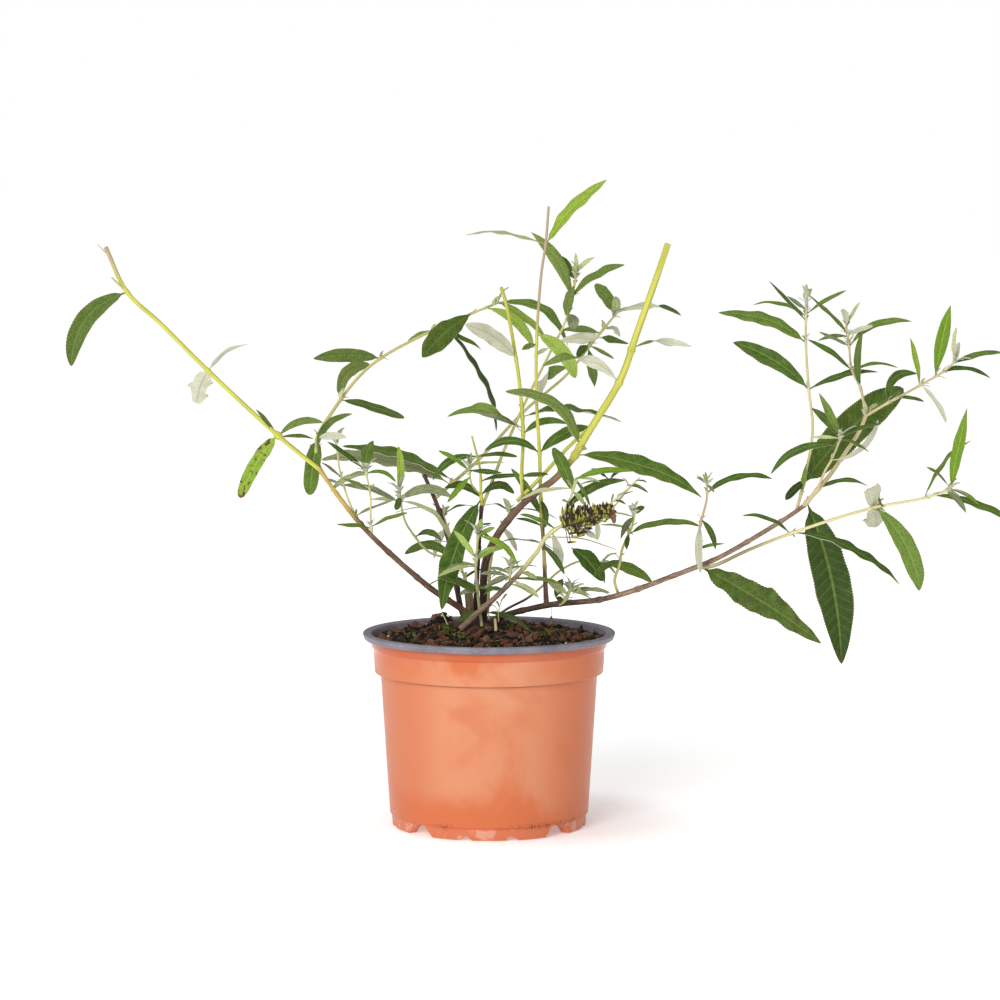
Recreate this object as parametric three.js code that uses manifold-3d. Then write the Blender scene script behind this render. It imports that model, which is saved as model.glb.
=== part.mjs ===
// A young butterfly bush (Buddleja davidii) grown leggy in a plastic nursery pot.
// Millimetres, +Z up. The pot stands on Z = 0 and the origin is under the middle of the whole plant's box.
import * as THREE from 'three';
import { mergeVertices } from 'three/addons/utils/BufferGeometryUtils.js';
import Module from 'manifold-3d';

const wasm = await Module();
wasm.setup();

// ---- Driving sizes -------------------------------------------------------------------------------

const POT_HEIGHT = 131.4;
const RIM_RADIUS = 85.5;
const RIM_DEPTH = 4.8;
const COLLAR_TOP_RADIUS = 79;
const COLLAR_FOOT_RADIUS = 77.4;
const COLLAR_FOOT = 104;
const BODY_TOP_RADIUS = 73.4;
const BODY_FOOT_RADIUS = 67.3;
const FOOT_HEIGHT = 8;
const FOOT_RING_RADIUS = 66;
const FOOT_RING_INNER = 58.5;
const RECESS = 5.5;
const FLOOR_TOP = 9.6;
const WALL = 1.7;
const NOTCH = [20, 18, 2 * (FOOT_HEIGHT - 1)];
const POT_SIDES = 48;

const SOIL_EDGE = 127;
const SOIL_MIDDLE = 129.6;
const SOIL_FLAT_RADIUS = 34;

const CROWN = { across: -11, back: 13, wide: 18, deep: 16, high: 10 };

const GAP = 0.32;
const LIMB_SIDES = 6;
const TWIG_SIDES = 4;
const LIMB_STEP = 15;

// A leaf seen flat is LEAF_SLIM times as long as broad; one seen on edge is at most LEAF_THIN times.
const LEAF_SLIM = 4.4;
const LEAF_THIN = 5.4;
const LEAF_THICKNESS = 0.016;
const LEAF_THINNEST = 0.7;
const PETIOLE = 0.75;
const MOST_REACH = 36;
const LEAN = 0.4;
const ARCH_HEIGHT = 0.7;
const SWING = 7;
const SWINGS = [0, 1, -1, 2, -2, 3, -3, 4, -4, 5, -5];
const LONG_LEAF = 46;

// Paired leaves rise with their stem, arch over and droop by shares of their length.
const PAIR_RISE = 0.5;
const PAIR_DROOP = 0.25;
const PAIR_ARCH = 0.12;
const PAIR_TURN = 0.35;

// Places on the plant are set out as a front elevation: [across, up, back]. Across and up are read on
// the upright plane through the pot's axis by an eye EYE_AWAY in front of it and EYE_UP above the line
// that up starts from, which lies LINE_DROP under the ground. Back is the depth behind that plane.
const EYE_ACROSS = 7;
const EYE_AWAY = 2200;
const EYE_UP = 420;
const LINE_DROP = 3.1;

// ---- Woody limbs: the line of the axis, then the radius at foot and tip ----------------------------

const LIMBS = {
  old_stump: { line: [[-13, 138, 27], [-13, 150, 28], [-14, 162, 29]], foot: 3.3, tip: 2.8 },
  left_bough: {
    line: [
      [-11, 138, 13], [-16, 147, 11], [-40, 164, 2], [-80, 200, -12], [-97, 220, -18], [-115, 245, -24],
    ],
    foot: 2.4, tip: 1.5,
  },
  dark_snag: {
    line: [[-14, 138, 19], [-19, 150, 20], [-26, 191, 22], [-35, 220, 26], [-44, 241, 30]],
    foot: 2, tip: 1.3,
  },
  upright_bough: {
    line: [[-8, 138, 18], [-9, 150, 18], [-7.5, 183, 14], [-5, 220, 10]],
    foot: 1.8, tip: 1.3,
  },
  middle_bough: {
    line: [
      [-4, 138, 11], [-4, 150, 9], [-2, 183, -3], [6.4, 201, -8], [19.3, 217.3, -14], [33.9, 230.3, -22],
      [44, 237.5, -28], [57, 252, -35],
    ],
    foot: 2.8, tip: 2.3,
  },
  front_bough: {
    line: [
      [-21, 134, 1], [-16, 139, -3], [-8, 146.5, -6], [4.5, 157.8, -15], [21, 174.5, -31],
      [33, 189, -44],
    ],
    foot: 2.5, tip: 1.6,
  },
  right_bough: {
    line: [
      [0, 138, 16], [8, 144, 12], [39, 152, 2], [80, 157, -4], [132, 175, -4], [156, 185, 0],
      [200, 211, 10], [213, 220, 14],
    ],
    foot: 2.7, tip: 1.7,
  },
  back_bough: { on: 'right_bough', at: 0.19, line: [[38, 169, 3], [37, 190, 1]], foot: 1.8, tip: 1.4 },
};

// ---- Leafy shoots ----------------------------------------------------------------------------------
// Each grows from a place along its limb, or from the root crown, and forks by its own list. A leaf is
// [place along the stem, tip across, tip up, breadth as seen, arch, look] and may end with the depth
// of its tip. The midrib rises by ARCH_HEIGHT times the arch times the leaf's length. The looks are
// dark, mid, bright, grey, young, tan and felt, which is a leaf turned over to its felted underside.
// Shoots with pairs carry opposite leaves, each pair turned a quarter from the last, from a share of
// the stem up to its tip.

const SHOOTS = {
  left_outer_shoot: {
    on: 'left_bough', at: 1, foot: 1.4, tip: 0.6,
    line: [[-143, 268, -28], [-189, 311, -34], [-221, 343, -36], [-243, 364, -38], [-257, 394, -40]],
    leaves: [
      [0.84, -281, 314, 13, 0.22, 'mid'], [0.48, -161, 329, 3, 0.15, 'young'],
      [0.48, -197, 289, 13, 0.05, 'felt'], [0.175, -168, 225, 11, 0.35, 'bright'],
      [0.18, -157, 285, 3, 0.05, 'dark'], [0.17, -112, 276, 6, 0.3, 'dark'],
      [0.165, -118, 265, 3, 0.1, 'dark'],
    ],
  },
  left_arching_shoot: {
    on: 'left_bough', at: 0.93, foot: 1.35, tip: 0.8,
    line: [
      [-115, 248, -17], [-116, 264, -12], [-105, 284, 2], [-80, 314, 30], [-38, 338, 55], [7, 357, 70],
    ],
    leaves: [
      [0.1, -121, 227, 12, 0.05, 'dark', -28], [0.11, -92, 282, 5.5, 0.25, 'dark'],
      [0.15, -96, 266, 6.5, 0.1, 'felt'], [0.32, -80, 315, 9, 0.3, 'dark'],
      [0.32, -57, 279, 6, 0.04, 'dark'],
      [0.54, -118, 319, 10, 0.1, 'dark'], [0.75, -55, 330, 3, 0.1, 'mid'],
      [0.75, -5, 325, 3, 0.15, 'dark'], [0.9, -45, 320, 16, 0.05, 'dark'],
      [0.79, 5, 270, 3, 0.15, 'dark'], [0.95, 30, 326, 8, 0.2, 'bright'], [1, 53, 328, 6, 0.3, 'mid'],
      [1, 38, 333, 5.5, 0.1, 'bright'],
    ],
  },
  left_low_twig: {
    on: 'left_bough', at: 0.62, foot: 0.8, tip: 0.6,
    line: [[-80, 213, -17], [-80, 226, -21], [-83, 243, -25]],
    leaves: [
      [1, -78, 264, 10, 0.05, 'mid'], [1, -109, 263, 3.5, 0.05, 'dark'],
      [0.95, -107, 229, 5.5, 0.2, 'grey'], [0.97, -63, 236, 3.5, 0.25, 'mid'],
      [0.7, -99, 238, 3, 0.05, 'mid'], [0.15, -55, 215, 3, 0.05, 'mid'],
      [0.12, -103, 207, 3, 0.05, 'mid'], [0.98, -94, 240, 3.5, 0.1, 'grey'],
    ],
  },
  left_high_twig: {
    on: 'left_bough', at: 0.68, foot: 0.8, tip: 0.6,
    line: [[-93, 219, -10], [-100, 241, -4], [-103, 262, -2]],
    leaves: [
      [0.6, -113, 249, 2.5, 0.05, 'mid'], [0.5, -111, 238, 2.5, 0.05, 'mid'],
      [0.14, -63, 224, 2.5, 0.05, 'grey'],
    ],
  },
  left_inner_shoot: {
    on: 'upright_bough', at: 0.5, foot: 0.9, tip: 0.7,
    line: [
      [-16, 181, 26], [-26, 184, 33], [-40, 188, 32], [-51, 200, 26], [-57, 210, 20], [-61, 230, 12],
    ],
    leaves: [
      [0.92, -80, 224, 3, 0.05, 'young'], [0.92, -26, 196, 3.5, 0.25, 'young'],
      [0.95, -63, 217, 6, 0, 'mid'], [0.93, -26, 226, 9, 0.25, 'mid'], [0.6, -32, 196, 6, 0.3, 'dark'],
      [0.25, -57, 187, 9, 0.3, 'dark'], [1, -61, 260, 7, 0.03, 'bright'], [0.9, -99, 234, 5, 0.1, 'mid'],
    ],
  },
  long_arching_shoot: {
    on: 'dark_snag', at: 0.83, foot: 1.2, tip: 0.8,
    line: [[-26, 234, 34], [-7, 251, 48], [24, 284, 76], [53, 309, 94], [68, 328, 102], [86, 350, 112]],
    leaves: [
      [0.08, -113, 251, 8, 0.15, 'grey'], [0.1, -99, 260, 5, 0.1, 'mid'], [0.57, 52, 313, 9, 0.25, 'mid'],
      [0.9, 48, 338, 5.5, 0.1, 'dark'], [0.84, 59, 319, 6, 0.1, 'dark'], [1, 71, 369, 9, 0.05, 'dark'],
      [1, 129, 348, 3.5, 0.2, 'mid'], [0.92, 88, 334, 5, 0.2, 'felt'], [0.83, 71, 300, 8, 0.05, 'dark'],
      [0.84, 84, 319, 2.5, 0.05, 'mid'],
    ],
  },
  back_shoot: {
    on: 'upright_bough', at: 0.97, foot: 1.2, tip: 0.7,
    line: [[4, 241, 20], [10, 257, 28], [25, 291, 44], [42, 325, 54], [52, 346, 58], [59, 377, 62]],
    leaves: [
      [0.9, 28, 404, 9, 0.1, 'mid'], [0.97, 48, 388, 5.5, 0.05, 'dark'], [0.95, 52, 348, 7, 0.05, 'mid'],
      [1, 71, 387, 3.5, 0.1, 'young'], [0.9, 91, 382, 5.5, 0.15, 'mid'], [0.84, 57, 339, 9, 0.1, 'grey'],
      [0.72, 94, 329, 5, 0.1, 'dark'], [1, 58, 390, 3, 0.05, 'young'],
    ],
  },
  upright_shoot: {
    on: 'upright_bough', at: 1, foot: 1.2, tip: 0.9,
    line: [[-5.5, 230, 8], [-6, 244, 5], [-11.5, 267, 0]],
    leaves: [
      [0.7, -38, 237, 7.5, 0.25, 'mid'], [0.7, 19, 253, 3.5, 0.1, 'mid'],
      [0.15, 17, 228, 8, 0.35, 'dark'], [0.35, 21, 240, 4, 0.1, 'mid'],
      [0.1, -32, 149, 15.5, 0.08, 'mid', -30], [0.1, -30, 232, 8, 0.2, 'dark'],
    ],
    forks: [{
      at: 0.15, foot: 0.8, tip: 0.6,
      line: [[-11, 233, 2], [-13, 240, -4], [-13.6, 246, -8]],
      leaves: [
        [0.9, -34, 257, 3.5, 0.05, 'bright'], [0.9, 9, 242, 5, 0.05, 'mid'],
        [1, 10, 249, 2, 0.1, 'young'], [0.7, -28, 222, 6, 0.05, 'bright'], [1, -12, 256, 3, 0, 'young'],
      ],
    }],
  },
  tall_cut_shoot: {
    on: 'middle_bough', at: 1, foot: 2.2, tip: 1.9,
    line: [[68, 271, -42], [88, 305, -54], [104, 338, -62], [112, 365, -66], [120, 396, -70]],
    leaves: [
      [0.54, 136, 327, 6, 0.2, 'felt'], [0.39, 36, 314, 5.5, 0.3, 'mid'],
      [0.02, 144, 225, 11.5, 0.12, 'mid'], [0.06, 66, 258, 4, 0.05, 'grey'],
      [0.06, 11, 297, 7, 0.3, 'mid'],
    ],
  },
  inner_shoot: {
    on: 'middle_bough', at: 0.66, foot: 1.3, tip: 1.2,
    line: [[22, 240, -6], [23, 266, 6], [21, 298, 20], [18, 320, 30], [11, 358, 44], [8, 367, 47]],
    leaves: [
      [0.67, -16, 342, 11.5, 0.1, 'felt'], [0.32, -28, 280, 5.5, 0.3, 'mid'],
      [0.35, -9, 283, 3.5, 0.05, 'grey'], [0.32, 53, 275, 6, 0.25, 'mid'], [0.4, 90, 276, 3, 0.15, 'mid'],
      [0.12, 28, 230, 3.5, 0.05, 'dark'], [0.13, 40, 241, 4, 0.05, 'dark', -24],
      [0.45, 21, 289, 4, 0.1, 'dark'],
    ],
  },
  tall_dry_shoot: {
    on: 'back_bough', at: 1, foot: 1.35, tip: 0.8,
    line: [
      [35, 224, -3], [34, 256, -6], [32, 291, -9], [32, 330, -8], [35, 375, -2], [38, 396, 0],
      [40, 421, 2],
    ],
    leaves: [
      [0.6, 22, 325, 4, 0.1, 'dark'], [0.57, 40, 326, 3, 0.05, 'young'],
      [0.63, 58, 306, 10, 0.2, 'bright'], [0.89, 79, 439, 8, 0.06, 'bright'],
      [0.89, -16, 402, 2, 0.12, 'young'], [0.285, -3, 257, 7.5, 0.3, 'mid'],
      [0.285, 68, 273, 9.5, 0.15, 'mid'], [0.1, 15, 245, 7.5, 0.05, 'mid'],
      [0.15, 38, 205, 6, 0.05, 'dark'], [0.07, 18, 211, 3, 0.1, 'mid'],
    ],
  },
  front_spike_shoot: {
    on: 'front_bough', at: 1, foot: 1.3, tip: 0.8,
    line: [[36, 195, -48], [40, 200, -52], [49, 206, -58], [66, 211, -66], [83, 217, -74]],
    spike: { from: 0.42, radius: 9.5, rings: 6, around: 3 },
    leaves: [
      [0.1, 51, 173, 5.5, 0.1, 'mid'], [0.3, 49, 178, 9, 0, 'felt'], [0.8, 73, 196, 5, 0.1, 'felt'],
      [0.2, 86, 190, 1.5, 0.1, 'tan'], [0.35, 21, 214, 3.5, 0.1, 'mid'], [1, 84, 208, 6, 0.1, 'tan'],
      [1, 102, 239, 2, 0.03, 'tan'],
    ],
    forks: [{
      at: 0.42, foot: 0.8, tip: 0.6,
      line: [[52, 219, -60], [56, 228, -61], [58, 238, -62]],
      leaves: [
        [0.75, 43, 259, 10, 0.05, 'mid'], [1, 98, 243, 5.5, 0.15, 'bright'],
        [0.35, 92, 237, 8, 0.2, 'dark'], [0.8, 21, 224, 3, 0.15, 'young'], [1, 68, 220, 3, 0.05, 'mid'],
        [1, 75, 236, 2, 0.1, 'young'],
      ],
    }],
  },
  front_sprout: {
    on: 'front_bough', at: 0.62, foot: 0.9, tip: 0.6,
    line: [[14, 172, -30], [15, 177, -33]],
    leaves: [
      [0.7, 0, 178, 3, 0.05, 'bright'], [0.5, -3, 164, 5, 0.05, 'bright'],
      [1, 20, 179, 2, 0.05, 'bright'], [0.3, 50, 166, 3, 0.1, 'mid'], [0.3, 34, 157, 4, 0.1, 'felt'],
      [1, 17, 184, 3, 0, 'bright'],
    ],
  },
  pale_young_shoot: {
    on: 'root_crown', foot: 0.9, tip: 0.6,
    line: [[-5, 138, 3], [-6, 146, 2], [-8, 163, -9], [-9, 176, -18], [-8, 193, -28], [-7.5, 201, -34]],
    leaves: [
      [0.72, -24, 203, 6, 0.05, 'bright'], [0.66, -35, 169, 3, 0.25, 'mid'],
      [0.74, 7, 191, 3, 0.2, 'young'], [0.7, 14, 192, 5.5, 0.15, 'bright'],
      [0.4, -35, 170, 6, 0.1, 'bright'], [0.4, -20, 159, 3.5, 0.05, 'mid'],
      [0.4, 9, 162, 4, 0.1, 'bright'], [1, -5, 211, 5.5, 0.02, 'bright'],
      [0.97, 20, 178, 5.5, 0.2, 'mid'], [0.95, 4, 205, 5, 0.05, 'bright'],
    ],
  },
  low_back_twig: {
    on: 'root_crown', foot: 0.9, tip: 0.7,
    line: [
      [-4, 138, 21], [12, 149.5, 27], [26, 157, 32], [37, 166, 36], [47, 175, 38], [61, 182, 38],
      [77, 181, 36],
    ],
    leaves: [
      [0.7, 76, 169, 13, 0.08, 'dark'], [1, 111, 167, 10, 0.1, 'mid'], [1, 78, 167, 3, 0.05, 'mid'],
    ],
  },
  back_left_shoot: {
    on: 'root_crown', foot: 1.2, tip: 0.7,
    line: [[-8, 138, 30], [-10, 150, 40], [-22, 187, 66], [-31, 214, 92]],
    leaves: [],
    pairs: { count: 5, from: 0.4, length: 40, look: 'dark' },
  },
  back_right_shoot: {
    on: 'root_crown', foot: 1.2, tip: 0.7,
    line: [[-4, 138, 25], [-1, 152, 40], [2, 186, 70], [14, 216, 100]],
    leaves: [],
    pairs: { count: 5, from: 0.4, length: 42, look: 'mid' },
  },
  low_right_twig: {
    on: 'right_bough', at: 0.4, foot: 1, tip: 0.7,
    line: [[85, 169, -10], [88, 179, -15], [90, 190, -20], [97, 207, -30], [98, 214, -34]],
    leaves: [
      [1, 105, 219, 5.5, 0.1, 'mid'], [0.97, 89, 197, 6, 0.05, 'grey'], [0.75, 93, 190, 5, 0.05, 'mid'],
      [0.82, 75, 207, 2, 0.05, 'young'], [0.97, 83, 215, 1.5, 0.05, 'young'],
      [0.75, 142, 206, 5, 0.15, 'mid'], [0.43, 71, 172, 6, 0.1, 'dark'],
    ],
  },
  pale_low_twig: {
    on: 'right_bough', at: 0.23, foot: 0.8, tip: 0.6,
    line: [[48, 152, -8], [53, 157, -14], [55, 164, -20]],
    leaves: [
      [0.6, 38, 170, 4, 0.05, 'young'], [0.95, 63, 161, 3, 0.3, 'bright'],
      [0.9, 69, 157, 2, 0.05, 'young'], [0.85, 82, 159, 3, 0.15, 'bright'],
      [0.5, 45, 157, 5, 0.1, 'dark'],
    ],
  },
  upright_right_twig: {
    on: 'right_bough', at: 0.64, foot: 1, tip: 0.7,
    line: [[141, 193, -8], [143, 208, -12], [147, 224, -15], [147, 234, -17]],
    leaves: [
      [0.52, 143, 174, 7.5, 0.03, 'felt', -24], [0.58, 153, 190, 6, 0.1, 'dark'],
      [0.22, 159, 194, 3, 0.1, 'mid'], [0.9, 191, 238, 5.5, 0.2, 'mid'], [1, 140, 239, 3, 0.05, 'bright'],
      [1, 152, 229, 3, 0.05, 'bright'], [1, 146, 243, 3, 0, 'young'],
    ],
  },
  low_right_shoot: {
    on: 'right_bough', at: 0.635, foot: 1.2, tip: 0.8,
    line: [
      [150, 178.5, -9], [176, 190, -20], [204, 201, -34], [258, 218, -56], [294, 225, -68],
      [312, 231, -74],
    ],
    leaves: [
      [0.02, 225, 126, 19, 0.04, 'dark', -30], [0.39, 171, 213, 3.5, 0.2, 'mid'],
      [0.4, 278, 166, 5.5, 0.14, 'mid'], [0.7, 261, 205, 15, 0.1, 'felt'],
      [0.72, 291, 162, 14, 0.2, 'mid'], [0.9, 325, 264, 2.5, 0.15, 'mid'],
      [1, 295, 246, 2, 0.1, 'mid'], [1, 322, 286, 9, 0.03, 'bright'], [1, 331, 220, 3.5, 0.1, 'bright'],
      [0.98, 322, 215, 5.5, 0.1, 'grey'], [0.93, 353, 209, 5.5, 0.1, 'mid'],
    ],
  },
  right_forked_shoot: {
    on: 'right_bough', at: 1, foot: 1.5, tip: 1.2,
    line: [[222, 231, 16], [231, 242, 18], [241, 257, 20], [249, 269, 21], [254, 281, 22]],
    leaves: [[0.05, 239, 112, 27, 0.05, 'dark', 2], [0.2, 256, 233, 4, 0.2, 'mid']],
    forks: [{
      at: 1, foot: 1, tip: 0.6,
      line: [[250, 299, 28], [244, 312, 34], [242, 328, 40], [240, 342, 45]],
      leaves: [
        [0.9, 214, 362, 4, 0.05, 'bright'], [0.28, 251, 338, 6, 0.1, 'dark'],
        [0.5, 275, 313, 3, 0.2, 'mid'], [0.5, 214, 332, 5, 0.05, 'mid'], [0.87, 221, 331, 4, 0.1, 'mid'],
        [0.77, 222, 337, 3.5, 0.05, 'grey'], [0.76, 284, 344, 6, 0.2, 'mid'],
        [0.88, 258, 341, 5, 0.1, 'felt'], [1, 249, 357, 3.5, 0.05, 'bright'],
      ],
    }, {
      at: 1, foot: 1, tip: 0.6,
      line: [[268, 289, 14], [290, 301, 2], [308, 312, -8], [314, 318, -12]],
      leaves: [
        [0.24, 288, 309, 9, 0.3, 'mid'], [0.33, 293, 290, 3.5, 0.15, 'tan'],
        [0.58, 283, 333, 5.5, 0.05, 'bright'], [0.6, 308, 276, 4, 0.1, 'felt'],
        [0.75, 310, 355, 11, 0.03, 'bright'], [0.82, 337, 306, 4, 0.2, 'mid'],
        [0.95, 346, 323, 5, 0.1, 'mid'], [1, 314, 340, 3.5, 0.02, 'bright'],
      ],
    }, {
      at: 0.19, foot: 0.9, tip: 0.6,
      line: [[227, 244, 8], [231, 251, 4], [237, 266, -6]],
      leaves: [
        [0.98, 217, 286, 8, 0.05, 'dark'], [1, 222, 296, 7.5, 0.03, 'mid'],
        [0.98, 217, 266, 3, 0.05, 'young'], [1, 264, 275, 3.5, 0.1, 'mid'],
        [0.85, 190, 241, 7, 0.2, 'mid'], [0.97, 256, 256, 3, 0.1, 'mid'],
        [0.57, 262, 278, 6, -0.25, 'felt'],
      ],
    }],
  },
  right_upright_shoot: {
    on: 'right_bough', at: 0.97, foot: 1.1, tip: 0.7,
    line: [[213, 238, 26], [218, 271, 34], [215, 300, 42], [213, 330, 52], [213, 359, 60]],
    leaves: [
      [0.14, 279, 299, 26, 0.05, 'dark', 60], [0.16, 200, 224, 8, 0.05, 'dark'],
      [0.1, 214, 248, 3.5, 0.05, 'bright'], [0.8, 154, 350, 10, 0.1, 'mid'],
      [0.58, 164, 330, 13, 0.12, 'mid'], [0.58, 262, 310, 6, 0.12, 'mid'],
      [0.9, 188, 371, 4, 0.05, 'mid'], [0.92, 177, 355, 3.5, 0.2, 'mid'],
      [0.95, 200, 361, 4, 0.05, 'bright'], [1, 213, 369, 4, 0, 'young'],
      [0.93, 240, 365, 3.5, 0.05, 'mid'],
    ],
  },
};

// ---- Places, curves and dice -----------------------------------------------------------------------

function place([across, up, back]) {
  const spread = (EYE_AWAY + back) / EYE_AWAY;
  const high = EYE_UP + (up - EYE_UP) * spread - LINE_DROP;
  return new THREE.Vector3(EYE_ACROSS + (across - EYE_ACROSS) * spread, back, high);
}

// How high a point shows in the elevation.
function shownUp(point) {
  return EYE_UP + (point.z + LINE_DROP - EYE_UP) * (EYE_AWAY / (EYE_AWAY + point.y));
}

// The axis of a stem: straight stretches of about LIMB_STEP along a smooth curve through its points.
function axisThrough(points) {
  const curve = new THREE.CatmullRomCurve3(points, false, 'centripetal');
  return curve.getSpacedPoints(Math.max(2, Math.round(curve.getLength() / LIMB_STEP)));
}

function onAxis(axis, share) {
  const stretch = Math.min(share, 0.995) * (axis.length - 1);
  const k = Math.floor(stretch);
  return axis[k].clone().lerp(axis[k + 1], stretch - k);
}

function directionAt(axis, k) {
  return axis[Math.min(k + 1, axis.length - 1)].clone().sub(axis[Math.max(k - 1, 0)]).normalize();
}

function makeDice(seed) {
  let state = seed * 7919 + 17;
  return () => {
    state = (state * 16807) % 2147483647;
    return state / 2147483647;
  };
}

// ---- Solids ----------------------------------------------------------------------------------------

// Joins rings of corners into one closed skin. A ring of one corner is a point.
function loft(rings) {
  const corners = rings.flat();
  const faces = [];
  const starts = [];
  let count = 0;
  for (const ring of rings) {
    starts.push(count);
    count += ring.length;
  }
  for (let k = 0; k + 1 < rings.length; k += 1) {
    const sides = Math.max(rings[k].length, rings[k + 1].length);
    for (let i = 0; i < sides; i += 1) {
      const j = (i + 1) % sides;
      const [low, high] = [rings[k], rings[k + 1]];
      const a = starts[k] + (low.length === 1 ? 0 : i);
      const b = starts[k] + (low.length === 1 ? 0 : j);
      const c = starts[k + 1] + (high.length === 1 ? 0 : j);
      const d = starts[k + 1] + (high.length === 1 ? 0 : i);
      if (a !== b) faces.push([a, b, c]);
      if (c !== d) faces.push([a, c, d]);
    }
  }
  const last = rings.length - 1;
  for (let i = 1; i + 1 < rings[0].length; i += 1) faces.push([0, i + 1, i]);
  const end = starts[last];
  for (let i = 1; i + 1 < rings[last].length; i += 1) faces.push([end, end + i, end + i + 1]);
  return skin(corners, faces);
}

// Makes a geometry whose faces point out, whichever way the corners were listed.
function skin(corners, faces) {
  let volume = 0;
  for (const [a, b, c] of faces) {
    volume += corners[a].dot(new THREE.Vector3().crossVectors(corners[b], corners[c]));
  }
  const index = faces.flatMap(([a, b, c]) => (volume < 0 ? [a, c, b] : [a, b, c]));
  const geometry = new THREE.BufferGeometry();
  geometry.setAttribute('position', new THREE.Float32BufferAttribute(corners.flatMap((p) => p.toArray()), 3));
  geometry.setIndex(index);
  return geometry;
}

function solidOf(geometry) {
  const bare = geometry.clone();
  bare.deleteAttribute('normal');
  bare.deleteAttribute('uv');
  const merged = mergeVertices(bare, 1e-4);
  return new wasm.Manifold(new wasm.Mesh({
    numProp: 3,
    vertProperties: new Float32Array(merged.attributes.position.array),
    triVerts: new Uint32Array(merged.index.array),
  }));
}

function geometryOf(solid) {
  const mesh = solid.getMesh();
  const geometry = new THREE.BufferGeometry();
  geometry.setAttribute('position', new THREE.BufferAttribute(new Float32Array(mesh.vertProperties), 3));
  geometry.setIndex(new THREE.BufferAttribute(new Uint32Array(mesh.triVerts), 1));
  return geometry;
}

// A tapering limb along its axis. Grown by some millimetres it is also longer by that at both ends.
function limbGeometry(axis, foot, tip, sides, grow = 0) {
  const last = axis.length - 1;
  let across = new THREE.Vector3(0, 1, 0);
  const rings = axis.map((knot, k) => {
    const along = directionAt(axis, k);
    const centre = knot.clone();
    if (k === 0) centre.addScaledVector(along, -grow);
    if (k === last) centre.addScaledVector(along, grow);
    across = across.clone().addScaledVector(along, -across.dot(along)).normalize();
    const beside = new THREE.Vector3().crossVectors(along, across);
    return ringAround(centre, across, beside, foot + ((tip - foot) * k) / last + grow, sides);
  });
  return loft(rings);
}

function ringAround(centre, across, beside, radius, sides) {
  return Array.from({ length: sides }, (_, i) => {
    const turn = (2 * Math.PI * i) / sides;
    const [out, up] = [radius * Math.cos(turn), radius * Math.sin(turn)];
    return centre.clone().addScaledVector(across, out).addScaledVector(beside, up);
  });
}

// ---- Leaves ----------------------------------------------------------------------------------------

// Where a leaf goes: its real length and breadth from what the elevation shows of it, its arched
// midrib, and the way that its blade faces. One whose upper face shows rises away from the front or
// droops towards it, and one turned over does the opposite.
function layLeaf(root, leaf, dice, swing) {
  const [, tipAcross, tipUp, breadth, arch, look, tipBack] = leaf;
  const turned = look === 'felt';
  const flatTip = place([tipAcross, tipUp, root.y]);
  const seen = flatTip.distanceTo(root);
  const inward = Math.sqrt(Math.max(0, (LEAF_SLIM * breadth) ** 2 - seen ** 2));
  const reach = Math.min(inward, MOST_REACH, 1.3 * seen);
  const away = (tipUp > shownUp(root)) === turned ? -1 : 1;
  const lean = away * reach + (dice - 0.5) * LEAN * seen;
  const back = (tipBack ?? root.y + lean) + swing;
  const tip = place([tipAcross, tipUp, back]);
  const chord = tip.clone().sub(root);
  const length = chord.length();
  const along = chord.clone().normalize();
  const wide = Math.max(breadth, length / LEAF_THIN);
  const roll = Math.acos(Math.min(1, breadth / wide));

  const front = new THREE.Vector3(0, -1, 0);
  const facing = front.addScaledVector(along, -front.dot(along)).normalize();
  const side = new THREE.Vector3().crossVectors(along, facing);
  if (side.z < 0) side.negate();
  const upper = facing.multiplyScalar(turned ? -Math.cos(roll) : Math.cos(roll));
  upper.addScaledVector(side, Math.sin(roll)).normalize();

  const lift = new THREE.Vector3(-along.z, 0, along.x);
  if (lift.z < 0) lift.negate();
  return { midrib: archedMidrib(root, tip, lift.normalize(), ARCH_HEIGHT * arch), length, wide, upper };
}

function archedMidrib(root, tip, lift, arch) {
  const middle = root.clone().lerp(tip, 0.5).addScaledVector(lift, 2 * arch * root.distanceTo(tip));
  return new THREE.QuadraticBezierCurve3(root, middle, tip);
}

// One leaf of an opposite pair: it stands out from its stem at a bearing about it, and droops.
function layPaired(root, stemAlong, bearing, length) {
  const level = new THREE.Vector3(1, 0, 0).addScaledVector(stemAlong, -stemAlong.x).normalize();
  const outward = level.applyAxisAngle(stemAlong, bearing).addScaledVector(stemAlong, PAIR_RISE).normalize();
  const tip = root.clone().addScaledVector(outward, length);
  tip.z -= PAIR_DROOP * length;
  const along = tip.clone().sub(root).normalize();
  const upper = new THREE.Vector3(0, 0, 1).addScaledVector(along, -along.z).normalize();
  return { midrib: archedMidrib(root, tip, upper, PAIR_ARCH), length, wide: length / LEAF_SLIM, upper };
}

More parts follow.
